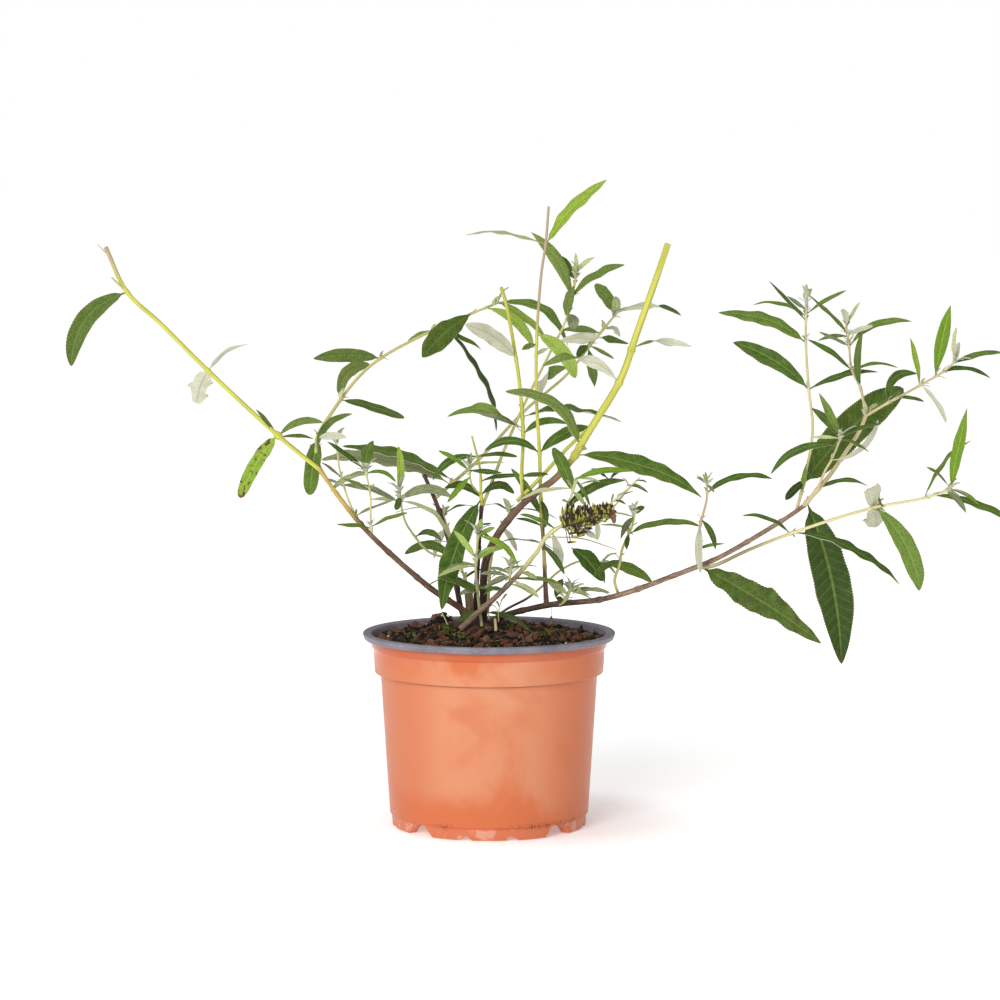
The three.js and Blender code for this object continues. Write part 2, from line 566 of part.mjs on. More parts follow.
// A thin keeled blade on its midrib: three corners at each station, and a point at the tip.
function leafGeometry({ midrib, length, wide, upper }, grow = 0) {
  const shape = length > LONG_LEAF ? [[0.15, 0.64], [0.44, 1], [0.78, 0.68]] : [[0.3, 0.96], [0.7, 0.76]];
  const keel = Math.max(LEAF_THINNEST, LEAF_THICKNESS * length) + grow;
  const stations = [[0, Math.min(1, PETIOLE / (wide / 2))], ...shape];
  const rings = stations.map(([share, fullness]) => {
    const along = midrib.getTangent(share);
    const beside = new THREE.Vector3().crossVectors(along, upper).normalize();
    const facing = new THREE.Vector3().crossVectors(beside, along).normalize();
    const centre = midrib.getPoint(share).addScaledVector(facing, grow);
    const half = (wide / 2) * fullness + grow;
    return [
      centre.clone().addScaledVector(beside, -half),
      centre.clone().addScaledVector(facing, -keel - grow),
      centre.clone().addScaledVector(beside, half),
    ];
  });
  const point = midrib.getPoint(1).addScaledVector(midrib.getTangent(1), grow);
  return loft([...rings, [point]]);
}

// ---- Flower spike ----------------------------------------------------------------------------------

// The spent spike: rings of blunt seed capsules that stand out of the stem's last stretch.
function capsules(axis, { from, radius, rings, around }) {
  const found = [];
  for (let k = 0; k < rings; k += 1) {
    const share = from + ((1 - from) * (k + 0.5)) / rings;
    const centre = onAxis(axis, share);
    const along = directionAt(axis, Math.round(share * (axis.length - 1)));
    const across = new THREE.Vector3(0, 0, 1).addScaledVector(along, -along.z).normalize();
    const reach = radius * (1 - 0.45 * (k / rings));
    for (let i = 0; i < around; i += 1) {
      const turn = (Math.PI * (2 * i + (k % 2))) / around;
      const outward = across.clone().applyAxisAngle(along, turn).addScaledVector(along, 0.35);
      const end = centre.clone().addScaledVector(outward.normalize(), reach);
      found.push(limbGeometry([centre, end], 0.8, 1.6, 3));
    }
  }
  return found;
}

// ---- Building the plant ------------------------------------------------------------------------------

const taken = [];

function boxesMeet(a, b) {
  const [p, q] = [a.boundingBox(), b.boundingBox()];
  return [0, 1, 2].every((i) => p.min[i] <= q.max[i] && q.min[i] <= p.max[i]);
}

function isFree(solid, others) {
  return others.every((other) => !boxesMeet(solid, other) || solid.intersect(other).isEmpty());
}

// The first swing, in steps of depth, at which a leaf clears everything that is already there.
function clearLeaf(root, leaf, dice) {
  for (const step of SWINGS) {
    const laid = layLeaf(root, leaf, dice, step * SWING);
    if (isFree(solidOf(leafGeometry(laid, GAP)), taken)) return laid;
  }
  return null;
}

function pairedLeaves(axis, { count, from, length }, dice) {
  const found = [];
  for (let k = 0; k < 2 * count; k += 1) {
    const node = Math.floor(k / 2);
    const share = from + ((1 - from) * node) / (count - 1);
    const bearing = Math.PI * ((k % 2) + (node % 2) / 2) + PAIR_TURN * (2 * dice() - 1);
    const root = onAxis(axis, share);
    const stemAlong = directionAt(axis, Math.round(share * (axis.length - 1)));
    const solid = solidOf(leafGeometry(layPaired(root, stemAlong, bearing, length * (1 - 0.35 * dice()))));
    if (isFree(solid, taken)) found.push(solid);
  }
  return found;
}

function growStem(start, stem, dice) {
  const axis = axisThrough([start, ...stem.line.map(place)]);
  const pieces = [solidOf(limbGeometry(axis, stem.foot, stem.tip, TWIG_SIDES))];
  for (const leaf of stem.leaves) {
    const root = onAxis(axis, leaf[0]);
    const laid = clearLeaf(root, leaf, dice());
    if (laid) pieces.push(solidOf(leafGeometry(laid)));
  }
  if (stem.pairs) pieces.push(...pairedLeaves(axis, stem.pairs, dice));
  if (stem.spike) capsules(axis, stem.spike).forEach((capsule) => pieces.push(solidOf(capsule)));
  for (const fork of stem.forks ?? []) pieces.push(...growStem(onAxis(axis, fork.at), fork, dice));
  return pieces;
}

// ---- Pot, potting mix and root crown -------------------------------------------------------------------

function lathe(profile, sides) {
  const points = profile.map(([radius, up]) => new THREE.Vector2(radius, up));
  return new THREE.LatheGeometry(points, sides).rotateX(Math.PI / 2);
}

function potInside(inset) {
  return [
    [BODY_FOOT_RADIUS - WALL - inset, FLOOR_TOP + inset],
    [BODY_TOP_RADIUS - WALL - inset, COLLAR_FOOT + 0.5 + inset],
    [COLLAR_FOOT_RADIUS - WALL - inset, COLLAR_FOOT + 3.5 + inset],
    [COLLAR_TOP_RADIUS - WALL - inset, POT_HEIGHT - RIM_DEPTH],
  ];
}

function potGeometry() {
  const outside = [
    [0, RECESS], [FOOT_RING_INNER, RECESS], [FOOT_RING_INNER + 1, 0], [FOOT_RING_RADIUS - 1, 0],
    [FOOT_RING_RADIUS, 1], [FOOT_RING_RADIUS, FOOT_HEIGHT - 0.5], [BODY_FOOT_RADIUS, FOOT_HEIGHT + 0.5],
    [BODY_TOP_RADIUS, COLLAR_FOOT - 1],
    [COLLAR_FOOT_RADIUS, COLLAR_FOOT + 1.5], [COLLAR_TOP_RADIUS, POT_HEIGHT - RIM_DEPTH],
    [RIM_RADIUS - 0.8, POT_HEIGHT - RIM_DEPTH], [RIM_RADIUS, POT_HEIGHT - RIM_DEPTH + 1],
    [RIM_RADIUS, POT_HEIGHT - 1], [RIM_RADIUS - 1, POT_HEIGHT], [COLLAR_TOP_RADIUS + 1.5, POT_HEIGHT],
  ];
  let pot = solidOf(lathe([...outside, ...potInside(0).reverse(), [0, FLOOR_TOP]], POT_SIDES));
  for (let quarter = 0; quarter < 4; quarter += 1) pot = pot.subtract(footNotch(quarter));
  return geometryOf(pot);
}

// Four gaps between the pot's feet, on the diagonals.
function footNotch(quarter) {
  const notch = new THREE.BoxGeometry(...NOTCH);
  notch.translate(FOOT_RING_RADIUS, 0, 0);
  notch.rotateZ(Math.PI / 4 + (quarter * Math.PI) / 2);
  return solidOf(notch);
}

function soilGeometry(raise = 0) {
  const edge = COLLAR_TOP_RADIUS - WALL - GAP - 0.1;
  const top = [[edge, SOIL_EDGE + raise], [SOIL_FLAT_RADIUS, SOIL_MIDDLE + raise], [0, SOIL_MIDDLE + raise]];
  return lathe([[0, FLOOR_TOP + GAP], ...potInside(GAP), ...top], POT_SIDES);
}

// The low woody lump that every stem springs from, cut flat on the potting mix.
function crownGeometry(grow = 0) {
  const lump = new THREE.SphereGeometry(1, 14, 10);
  lump.rotateX(Math.PI / 2);
  lump.scale(CROWN.wide + grow, CROWN.deep + grow, CROWN.high + grow);
  lump.translate(CROWN.across, CROWN.back, SOIL_MIDDLE);
  return lump;
}

function crownSolid() {
  return solidOf(crownGeometry()).subtract(solidOf(soilGeometry(GAP)));
}

// ---- Assembly ------------------------------------------------------------------------------------------

const FINISH = {
  pot: new THREE.MeshStandardMaterial({ color: 0xd98a68, roughness: 0.5, metalness: 0 }),
  soil: new THREE.MeshStandardMaterial({ color: 0x3b3128, roughness: 0.95, metalness: 0 }),
  bark: new THREE.MeshStandardMaterial({ color: 0x6b4d38, roughness: 0.85, metalness: 0 }),
  foliage: new THREE.MeshStandardMaterial({ color: 0x5f7a3a, roughness: 0.65, metalness: 0 }),
};

const plant = new THREE.Group();

function addNode(name, geometry, material) {
  const mesh = new THREE.Mesh(geometry, material.clone());
  mesh.name = name;
  plant.add(mesh);
}

addNode('pot', potGeometry(), FINISH.pot);
addNode('potting_mix', geometryOf(solidOf(soilGeometry())), FINISH.soil);
const crown = crownSolid();
addNode('root_crown', geometryOf(crown), FINISH.bark);
taken.push(solidOf(soilGeometry(GAP)), crown);

const fattened = { root_crown: solidOf(crownGeometry(GAP)).add(solidOf(soilGeometry(GAP))) };
const axes = {};
for (const [name, limb] of Object.entries(LIMBS)) {
  const points = limb.line.map(place);
  if (limb.on) points.unshift(onAxis(axes[limb.on], limb.at));
  const axis = axisThrough(points);
  axes[name] = axis;
  fattened[name] = solidOf(limbGeometry(axis, limb.foot, limb.tip, LIMB_SIDES, GAP));
  const whole = solidOf(limbGeometry(axis, limb.foot, limb.tip, LIMB_SIDES));
  const solid = whole.subtract(fattened[limb.on ?? 'root_crown']);
  taken.push(solid);
  addNode(name, geometryOf(solid), FINISH.bark);
}

Object.entries(SHOOTS).forEach(([name, shoot], order) => {
  const onCrown = shoot.on === 'root_crown';
  const start = onCrown ? place(shoot.line[0]) : onAxis(axes[shoot.on], shoot.at);
  const stem = onCrown ? { ...shoot, line: shoot.line.slice(1) } : shoot;
  const pieces = growStem(start, stem, makeDice(order + 1));
  const whole = pieces.reduce((joined, piece) => joined.add(piece));
  const solid = whole.subtract(fattened[shoot.on]);
  taken.push(solid);
  addNode(name, geometryOf(solid), FINISH.foliage);
});

const box = new THREE.Box3().setFromObject(plant);
const middle = box.getCenter(new THREE.Vector3());
plant.position.set(-middle.x, -middle.y, 0);

export default plant;
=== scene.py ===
import math

import bmesh
import bpy
import numpy as np
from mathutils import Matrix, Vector, kdtree, noise


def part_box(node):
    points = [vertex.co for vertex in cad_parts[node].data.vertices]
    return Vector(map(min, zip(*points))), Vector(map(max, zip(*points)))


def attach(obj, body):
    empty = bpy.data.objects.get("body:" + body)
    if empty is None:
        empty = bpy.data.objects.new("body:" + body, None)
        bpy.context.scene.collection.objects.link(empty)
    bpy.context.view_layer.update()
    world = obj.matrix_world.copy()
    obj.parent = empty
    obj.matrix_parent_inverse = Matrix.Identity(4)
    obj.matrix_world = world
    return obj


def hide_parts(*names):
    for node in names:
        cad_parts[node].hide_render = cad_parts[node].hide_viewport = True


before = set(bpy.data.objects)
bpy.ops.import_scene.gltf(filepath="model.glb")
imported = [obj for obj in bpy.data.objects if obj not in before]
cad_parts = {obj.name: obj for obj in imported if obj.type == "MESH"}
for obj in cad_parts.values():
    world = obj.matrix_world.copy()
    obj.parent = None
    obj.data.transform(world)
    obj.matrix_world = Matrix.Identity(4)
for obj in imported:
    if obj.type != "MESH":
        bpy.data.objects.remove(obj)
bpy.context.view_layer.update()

POT_LOW, POT_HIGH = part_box("pot")
AXIS = np.array([(POT_LOW.x + POT_HIGH.x) / 2, (POT_LOW.y + POT_HIGH.y) / 2, 0.0])
RIGHT, FRONT, UP = np.array([1, 0, 0]), np.array([0, -1, 0]), np.array([0, 0, 1])
FULL_TURN = 2 * math.pi

# ---- Growth: the sizes and rules of the solids ----

LIMB_STEP = 15
LEAF_SLIM = 4.4
LEAF_THIN = 5.4
MOST_REACH = 36
LEAN = 0.4
ARCH_HEIGHT = 0.7
SWINGS = [0, 7, -7, 14, -14, 21, -21, 28, -28, 35, -35]
PAIR_RISE = 0.5
PAIR_DROOP = 0.25
PAIR_ARCH = 0.12
PAIR_TURN = 0.35

# Places are (across, up, back) as seen on the upright plane through the pot's axis by an eye in front.
# Up starts from a line that lies LINE_DROP under the ground.
EYE_ACROSS, EYE_AWAY, EYE_UP = 7, 2200, 420
LINE_DROP = 3.1

# ---- Finer growth that the solids leave out ----

SOLID_MATCH = 0.08
LEAF_THICKNESS = 0.0105
BLADE_SHARE = 0.73
TOOTH, TOOTH_DEPTH = 2.2, 0.055
VEIN_SPACING = 6.5
PETIOLE = 0.55
STEM_STEP, STEM_SIDES = 1.6, 10
NODE_SWELL, NODE_SPAN = 0.32, 1.5
BOUGH_STEP, BOUGH_SIDES = 1.1, 20
BOUGH_NODE_SPACING = 27


def words(text):
    return [word if word[0].isalpha() else float(word) for word in text.split()]


def table(text):
    """A table's rows. Commas part them, and blanks the words and numbers in them."""
    return [words(row) for row in text.split(",")]


def leaf_rows(text):
    """Rows of leaves, each with what is odd about it: that follows a slash, and is empty for most."""
    return [[words(half) for half in (row + "/").split("/")[:2]] for row in text.split(",") if row]


def stem(head, line, leaves="", *forks, **more):
    """A bough, a shoot or a fork, as the notes below tell."""
    at, foot, tip, *look = words(head)
    found = {"at": at, "foot": foot, "tip": tip, "look": look, "line": table(line)}
    return {**found, "leaves": leaf_rows(leaves), "forks": forks, **more}


# A stem's head says where it leaves its bearer, as a share of the bearer's length, its radius at foot
# and tip, its bearer and how it looks: a bough by its bark, a shoot by its kind, the share of its length
# up to which it is brown and woody, and the share from which it is dry. Then come its places, from the
# bearer on, or from the start if it springs from the crown, its leaves and its forks.
# A leaf has the share of the stem where it stands, where its tip shows (across, up), its breadth, arch
# and look, and for some the depth of the tip. What is odd about a leaf is how blotched, how blunt and
# how ragged it is, and for some how far it is wrung round towards its foot and how much of its arch it
# keeps. Pairs of leaves are told by their number, the share of the first, their length and look, and a
# spike of capsules by the share where it starts and its radius.
LIMBS = {
    "old_stump": stem(
        "0 3.3 2.8 root_crown fibrous",
        "-13 138 27, -13 150 28, -14 162 29"),
    "left_bough": stem(
        "0 2.16 1.425 root_crown golden",
        "-11 138 13, -16 147 11, -40 164 2, -80 200 -12, -97 220 -18, -115 245 -24"),
    "dark_snag": stem(
        "0 2 1.3 root_crown dark",
        "-14 138 19, -19 150 20, -26 191 22, -35 220 26, -44 241 30"),
    "upright_bough": stem(
        "0 1.8 1.3 root_crown dark",
        "-8 138 18, -9 150 18, -7.5 183 14, -5 220 10"),
    "middle_bough": stem(
        "0 2.66 2.116 root_crown brown",
        """-4 138 11, -4 150 9, -2 183 -3, 6.4 201 -8, 19.3 217.3 -14, 33.9 230.3 -22, 44 237.5 -28,
        57 252 -35"""),
    "front_bough": stem(
        "0 2.1 1.44 root_crown grey",
        "-21 134 1, -16 139 -3, -8 146.5 -6, 4.5 157.8 -15, 21 174.5 -31, 33 189 -44"),
    "right_bough": stem(
        "0 2.106 1.462 root_crown purple",
        "0 138 16, 8 144 12, 39 152 2, 80 157 -4, 132 175 -4, 156 185 0, 200 211 10, 213 220 14"),
    "back_bough": stem(
        ".19 1.62 1.26 right_bough brown",
        "38 169 3, 37 190 1"),
}

SHOOTS = {
    "left_outer_shoot": stem("1 1.512 1.41 left_bough lime 0 .86",
        "-143 268 -28, -189 311 -34, -221 343 -36, -243 364 -38, -257 394 -40",
        """.84 -281 314 13 .22 dark / 0 .35 .02, .48 -161 329 3 .15 felt,
        .48 -197 289 13 .05 felt / 0 .8 .13, .175 -168 225 11 .35 bright / 1 .95 .05 0 .3,
        .18 -157 285 3 .05 dark, .17 -112 276 6 .3 dark, .165 -118 265 3 .1 dark"""),
    "left_arching_shoot": stem(".93 1.35 .8 left_bough green 0 2",
        "-115 248 -17, -116 264 -12, -105 284 2, -80 314 30, -38 338 55, 7 357 70",
        """.15 -121 227 12 .02 mid -28 / 0 .95 .01, .11 -92 282 5.5 .25 dark, .15 -96 266 6.5 .1 felt,
        .32 -80 315 9 .3 dark, .32 -57 279 6 .04 dark, .54 -118 319 10 .1 dark / .3 .3 .03,
        .75 -55 330 3 .1 mid, .75 -5 325 3 .15 dark, .9 -45 320 16 .05 dark, .79 5 270 3 .15 dark,
        .95 30 326 8 .2 bright, 1 53 328 6 .3 mid, 1 38 333 5.5 .1 bright"""),
    "left_low_twig": stem(".62 .8 .6 left_bough pale .1 2",
        "-80 213 -17, -80 226 -21, -83 243 -25",
        """1 -78 264 10 .05 mid, 1 -109 263 3.5 .05 dark, .95 -107 229 5.5 .2 grey, .97 -63 236 3.5 .25 mid,
        .7 -99 238 3 .05 mid, .15 -55 215 3 .05 mid, .12 -103 207 3 .05 mid, .98 -94 240 3.5 .1 grey"""),
    "left_high_twig": stem(".68 .8 .6 left_bough pale 0 2",
        "-93 219 -10, -100 241 -4, -103 262 -2",
        ".6 -113 249 2.5 .05 grey, .5 -111 238 2.5 .05 grey, .14 -63 224 2.5 .05 grey"),
    "left_inner_shoot": stem(".5 .9 .7 upright_bough pale 0 2",
        "-16 181 26, -26 184 33, -40 188 32, -51 200 26, -57 210 20, -61 230 12",
        """.92 -80 224 3 .05 young, .92 -26 196 3.5 .25 young, .95 -63 217 6 0 mid / 0 .9 .03,
        .93 -26 226 9 .25 grey, .6 -32 196 6 .3 dark, .25 -57 187 9 .3 dark, 1 -61 260 7 .03 bright,
        .9 -99 234 5 .1 grey"""),
    "long_arching_shoot": stem(".83 1.2 .8 dark_snag green 0 2",
        "-26 234 34, -7 251 48, 24 284 76, 53 309 94, 68 328 102, 86 350 112",
        """.08 -113 251 8 .15 grey, .1 -99 260 5 .1 mid, .57 52 313 9 .25 mid / 0 .3 .04 -2.3,
        .9 48 338 5.5 .1 dark, .84 59 319 6 .1 dark, 1 71 369 9 .05 mid,
        1 129 348 3.5 .2 mid / 0 .2 .03 2.6, .92 88 334 5 .2 felt / 0 .6 .05 1.5, .83 71 300 8 .05 dark,
        .84 84 319 2.5 .05 mid"""),
    "back_shoot": stem(".97 1.2 .7 upright_bough green 0 2",
        "4 241 20, 10 257 28, 25 291 44, 42 325 54, 52 346 58, 59 377 62",
        """.9 28 404 9 .1 mid, .97 48 388 5.5 .05 dark, .95 52 348 7 .05 mid, 1 71 387 3.5 .1 young,
        .9 91 382 5.5 .15 mid, .84 57 339 9 .1 grey, .72 94 329 5 .1 dark / 0 .2 .03 2.4,
        1 58 390 3 .05 young"""),
    "upright_shoot": stem("1 1.02 .63 upright_bough lime 0 2",
        "-5.5 230 8, -6 244 5, -11.5 267 0",
        """.7 -38 237 7.5 .25 mid, .7 19 253 3.5 .1 mid / 0 .8 .02, .15 17 228 8 .35 dark / 0 .5 .05,
        .35 21 240 4 .1 mid, .1 -32 149 15.5 .08 mid -30 / 0 .3 .06, .1 -30 232 8 .2 dark""",
        stem(".15 .68 .42",
            "-11 233 2, -13 240 -4, -13.6 246 -8",
            """.9 -34 257 3.5 .05 bright, .9 9 242 5 .05 mid, 1 10 249 2 .1 young, .7 -28 222 6 .05 bright,
            1 -12 256 3 0 young""")),
    "tall_cut_shoot": stem("1 2.376 2.052 middle_bough lime 0 .99",
        "68 271 -42, 88.5 305 -54, 99 335 -61, 109.5 365 -66, 120 396 -70",
        """.54 136 327 6 .2 felt / 0 .3 .03 2.7, .39 36 314 5.5 .3 mid / 0 .2 .03 -2.2,
        .02 144 225 11.5 .12 mid / 0 .02 .03, .06 66 258 4 .05 grey, .06 11 297 7 .3 mid"""),
    "inner_shoot": stem(".66 1.3 1.2 middle_bough lime .1 2",
        "22 240 -6, 23 266 6, 21 298 20, 18 320 30, 11 358 44, 8 367 47",
        """.67 -16 342 11.5 .1 felt / 0 .3 .05, .32 -28 280 5.5 .3 mid / 0 .2 .03 2.2,
        .35 -9 283 3.5 .05 grey, .32 53 275 6 .25 mid, .4 90 276 3 .15 mid, .12 28 230 3.5 .05 dark,
        .13 40 241 4 .05 dark -24, .45 21 289 4 .1 dark"""),
    "tall_dry_shoot": stem("1 1.35 .8 back_bough lime .16 .6",
        "35 224 -3, 34 256 -6, 32 291 -9, 32 330 -8, 35 375 -2, 38 396 0, 40 421 2",
        """.6 22 325 4 .1 dark, .57 40 326 3 .05 young, .63 58 306 10 .2 bright, .89 79 439 8 .06 bright,
        .89 -16 402 2 .12 young, .285 -3 257 7.5 .3 mid, .285 68 273 9.5 .15 mid, .1 15 245 7.5 .05 mid,
        .15 38 205 6 .05 dark, .07 18 211 3 .1 mid"""),
    "front_spike_shoot": stem("1 1.3 .8 front_bough pale 0 2",
        "36 195 -48, 40 200 -52, 49 206 -58, 66 211 -66, 83 217 -74",
        """.1 51 173 5.5 .1 dark, .3 49 178 9 0 felt, .8 73 196 5 .1 felt, .2 86 190 1.5 .1 tan,
        .35 21 214 3.5 .1 mid, 1 84 208 6 .1 tan / .4 .6 .14, 1 102 239 2 .03 tan""",
        stem(".42 .8 .6",
            "52 219 -60, 56 228 -61, 58 238 -62",
            """.75 43 259 10 .05 mid, 1 98 243 5.5 .15 bright, .35 92 237 8 .2 dark, .8 21 224 3 .15 young,
            1 68 220 3 .05 mid, 1 75 236 2 .1 young"""),
        spike=".42 9.5"),
    "front_sprout": stem(".62 .9 .6 front_bough pale 0 2",
        "14 172 -30, 15 177 -33",
        """.7 0 178 3 .05 grey, .5 -3 164 5 .05 grey, 1 20 179 2 .05 young, .3 50 166 3 .1 mid,
        .3 34 157 4 .1 felt, 1 17 184 3 0 young"""),
    "pale_young_shoot": stem("0 1.08 .78 root_crown pale 0 2",
        "-5 138 3, -6 146 2, -8 163 -9, -9 176 -18, -8 193 -28, -7.5 201 -34",
        """.72 -24 203 6 .05 lime, .66 -35 169 3 .25 grey, .74 7 191 3 .2 lime, .7 14 192 5.5 .15 lime,
        .4 -35 170 6 .1 mid, .4 -20 159 3.5 .05 mid, .4 9 162 4 .1 mid, 1 -5 211 5.5 .02 lime,
        .97 20 178 5.5 .2 bright, .95 4 205 5 .05 lime"""),
    "low_back_twig": stem("0 .9 .7 root_crown green .45 2",
        "-4 138 21, 12 149.5 27, 26 157 32, 37 166 36, 47 175 38, 61 182 38, 77 181 36",
        "1 111 167 10 .1 mid, 1 78 167 3 .05 mid"),
    "back_left_shoot": stem("0 1.2 .7 root_crown green .2 2",
        "-8 138 30, -10 150 40, -22 187 66, -31 214 92",
        "",
        pairs="5 .4 40 dark"),
    "back_right_shoot": stem("0 1.2 .7 root_crown green .2 2",
        "-4 138 25, -1 152 40, 2 186 70, 14 216 100",
        "",
        pairs="5 .4 42 mid"),
    "low_right_twig": stem(".4 1 .7 right_bough green .12 2",
        "85 169 -10, 88 179 -15, 90 190 -20, 97 207 -30, 98 214 -34",
        """1 105 219 5.5 .1 mid, .97 89 197 6 .05 grey, .75 93 190 5 .05 mid, .82 75 207 2 .05 young,
        .97 83 215 1.5 .05 young, .75 142 206 5 .15 mid, .43 71 172 6 .1 dark"""),
    "pale_low_twig": stem(".23 .8 .6 right_bough pale 0 2",
        "48 152 -8, 53 157 -14, 55 164 -20",
        """.6 38 170 4 .05 young, .95 63 161 3 .3 young, .9 69 157 2 .05 young, .85 82 159 3 .15 grey,
        .5 45 157 5 .1 dark"""),
    "upright_right_twig": stem(".64 1 .7 right_bough tan .2 2",
        "141 193 -8, 143 208 -12, 147 224 -15, 147 234 -17",
        """.52 143 174 7.5 .03 felt -24, .58 153 190 6 .1 dark, .22 159 194 3 .1 mid, .9 191 238 5.5 .2 mid,
        1 140 239 3 .05 grey, 1 152 229 3 .05 grey, 1 146 243 3 0 young"""),
    "low_right_shoot": stem(".635 1.2 .8 right_bough straw .36 2",
        "150 178.5 -9, 176 190 -20, 204 201 -34, 258 218 -56, 294 225 -68, 312 231 -74",
        """.02 225 126 19 .04 dark -30 / .35 .15 .11, .39 171 213 3.5 .2 mid,
        .4 278 166 5.5 .14 mid / 0 .05 .03, .7 261 205 15 .1 felt / 0 .4 .1, .72 291 162 14 .2 mid,
        .9 325 264 2.5 .15 mid, 1 295 246 2 .1 mid, 1 322 286 9 .03 bright / 0 .02 .03,
        1 331 220 3.5 .1 bright, .98 322 215 5.5 .1 grey, .93 353 209 5.5 .1 mid"""),
    "right_forked_shoot": stem("1 1.5 1.2 right_bough tan 0 2",
        "222 231 16, 231 242 18, 241 257 20, 249 269 21, 254 281 22",
        ".05 239 112 27 .05 dark 2 / .1 .2 .03, .2 256 233 4 .2 mid",
        stem("1 1 .6",
            "250 299 28, 244 312 34, 242 328 40, 240 342 45",
            """.9 214 362 4 .05 mid, .28 251 338 6 .1 dark, .5 275 313 3 .2 mid, .5 214 332 5 .05 mid,
            .87 221 331 4 .1 mid, .77 222 337 3.5 .05 grey, .76 284 344 6 .2 mid, .88 258 341 5 .1 felt,
            1 249 357 3.5 .05 young"""),
        stem("1 1 .6",
            "268 289 14, 290 301 2, 308 312 -8, 314 318 -12",
            """.24 288 309 9 .3 mid, .33 293 290 3.5 .15 dark / .9 .3 .1, .58 283 333 5.5 .05 bright,
            .6 308 276 4 .1 felt, .75 310 355 11 .03 bright / 0 .05 .02, .82 337 306 4 .2 mid,
            .95 346 323 5 .1 mid, 1 314 340 3.5 .02 young"""),
        stem(".19 .9 .6",
            "227 244 8, 231 251 4, 237 266 -6",
            """.98 217 286 8 .05 dark, 1 222 296 7.5 .03 mid, .98 217 266 3 .05 young, 1 264 275 3.5 .1 mid,
            .85 190 241 7 .2 mid, .97 256 256 3 .1 mid, .57 262 278 6 -.25 felt""")),
    "right_upright_shoot": stem(".97 1.1 .7 right_bough straw 0 2",
        "213 238 26, 218 271 34, 215 300 42, 213 330 52, 213 359 60",
        """.14 279 299 26 .05 dark 60 / 0 .6 .015, .16 200 224 8 .05 dark, .1 214 248 3.5 .05 bright,
        .8 154 350 10 .1 mid / .1 .1 .06, .58 164 330 13 .12 mid / .1 .1 .06, .58 262 310 6 .12 mid,
        .9 188 371 4 .05 mid, .92 177 355 3.5 .2 mid, .95 200 361 4 .05 grey, 1 213 369 4 0 young,
        .93 240 365 3.5 .05 mid"""),
}

# What is too fine for the solids. Leaves by the node they belong to: look, root, tip, breadth and what is
# odd. Twigs: kind of stem, node, radius at both ends, and places.
FINE_LEAVES = [
    ("pale_young_shoot", """mid -8 160 -9 -35.4 171 -30 7.5, young -9 178 -19 -34.5 171.5 -36 4.2,
        grey -8 161 -9 -19.6 159.6 -22 4.6"""),
    ("front_sprout", """young 14.8 173.5 -31 22.5 178 -36 2.4, young 14.8 173.5 -31 10.3 177.4 -36 2.2,
        grey 13 171.5 -30 -5.5 173.4 -36 3.8, grey 13 171 -30 -1.5 165.5 -40 4"""),
    ("front_bough", """young 22.4 174 -32 32.5 170 -30 5.5, young 15.5 166 -25 33.5 157.4 -32 5.8,
        mid -3.5 159.5 -18 9.5 162.6 -28 5.6, grey 16 166 -24 23 163.4 -28 3"""),
    ("root_crown", "young 7 151 -11 4.6 154.8 -13 2.2, young 8 155 -12 12.5 160 -14 2"),
    ("pale_low_twig", """young 53.5 158.5 -15 37.8 169.3 -22 6.2, young 55.5 162 -19 64.5 166.5 -24 3,
        young 56 160 -17 68.8 158.4 -26 3.2, grey 58 160.5 -17 82 160.6 -24 3.8,
        grey 55.2 163 -20 50 166.8 -24 2.6, young 55.2 163 -20 57.6 168 -22 2.4,
        dark 50 170 -12 45 157.4 -14 6"""),
    ("root_crown", "dark -2 147 3 29 133.8 0 5.5, dark -8 148 2 -21 141 0 6"),
    ("low_right_shoot", "felt 258 217.5 -50 264 229 -57 16 / 0 .9 .05"),
    ("low_back_twig", "mid 55.5 191.2 20 76.8 168.4 6 11"),
    ("front_spike_shoot", """young 55.3 220.4 -61 49.2 223.2 -68 4.6, young 55.7 227.1 -61 60.4 238.3 -66 2.6,
        young 56.6 229 -61 64.2 220.4 -68 4.2, young 56.4 230 -61 52.3 237.6 -64 2.2,
        felt 61.5 203.2 -64 72.4 197.3 -68 5.6, mid 87.5 223.7 -76 97.7 229.4 -84 1.8,
        dark 92.7 233.6 -78 107.5 228.5 -84 2.6, mid 99 236.8 -80 106.5 235.5 -84 1.8,
        grey 95 232.5 -79 89.5 239 -84 1.8, mid 97 234.5 -79 104.5 231 -84 1.8,
        mid 83.5 223 -74 92.3 220.7 -80 2.4, grey 86.5 226.4 -76 91 228.4 -80 1.6,
        grey 82.5 222 -75 84.2 228 -76 1.5, dark 80 238.2 -60 68.6 244.9 -52 2.8,
        grey 74 236 -62 61 234 -64 1.8, dark 82 238 -60 88.6 242.4 -52 2.4"""),
]
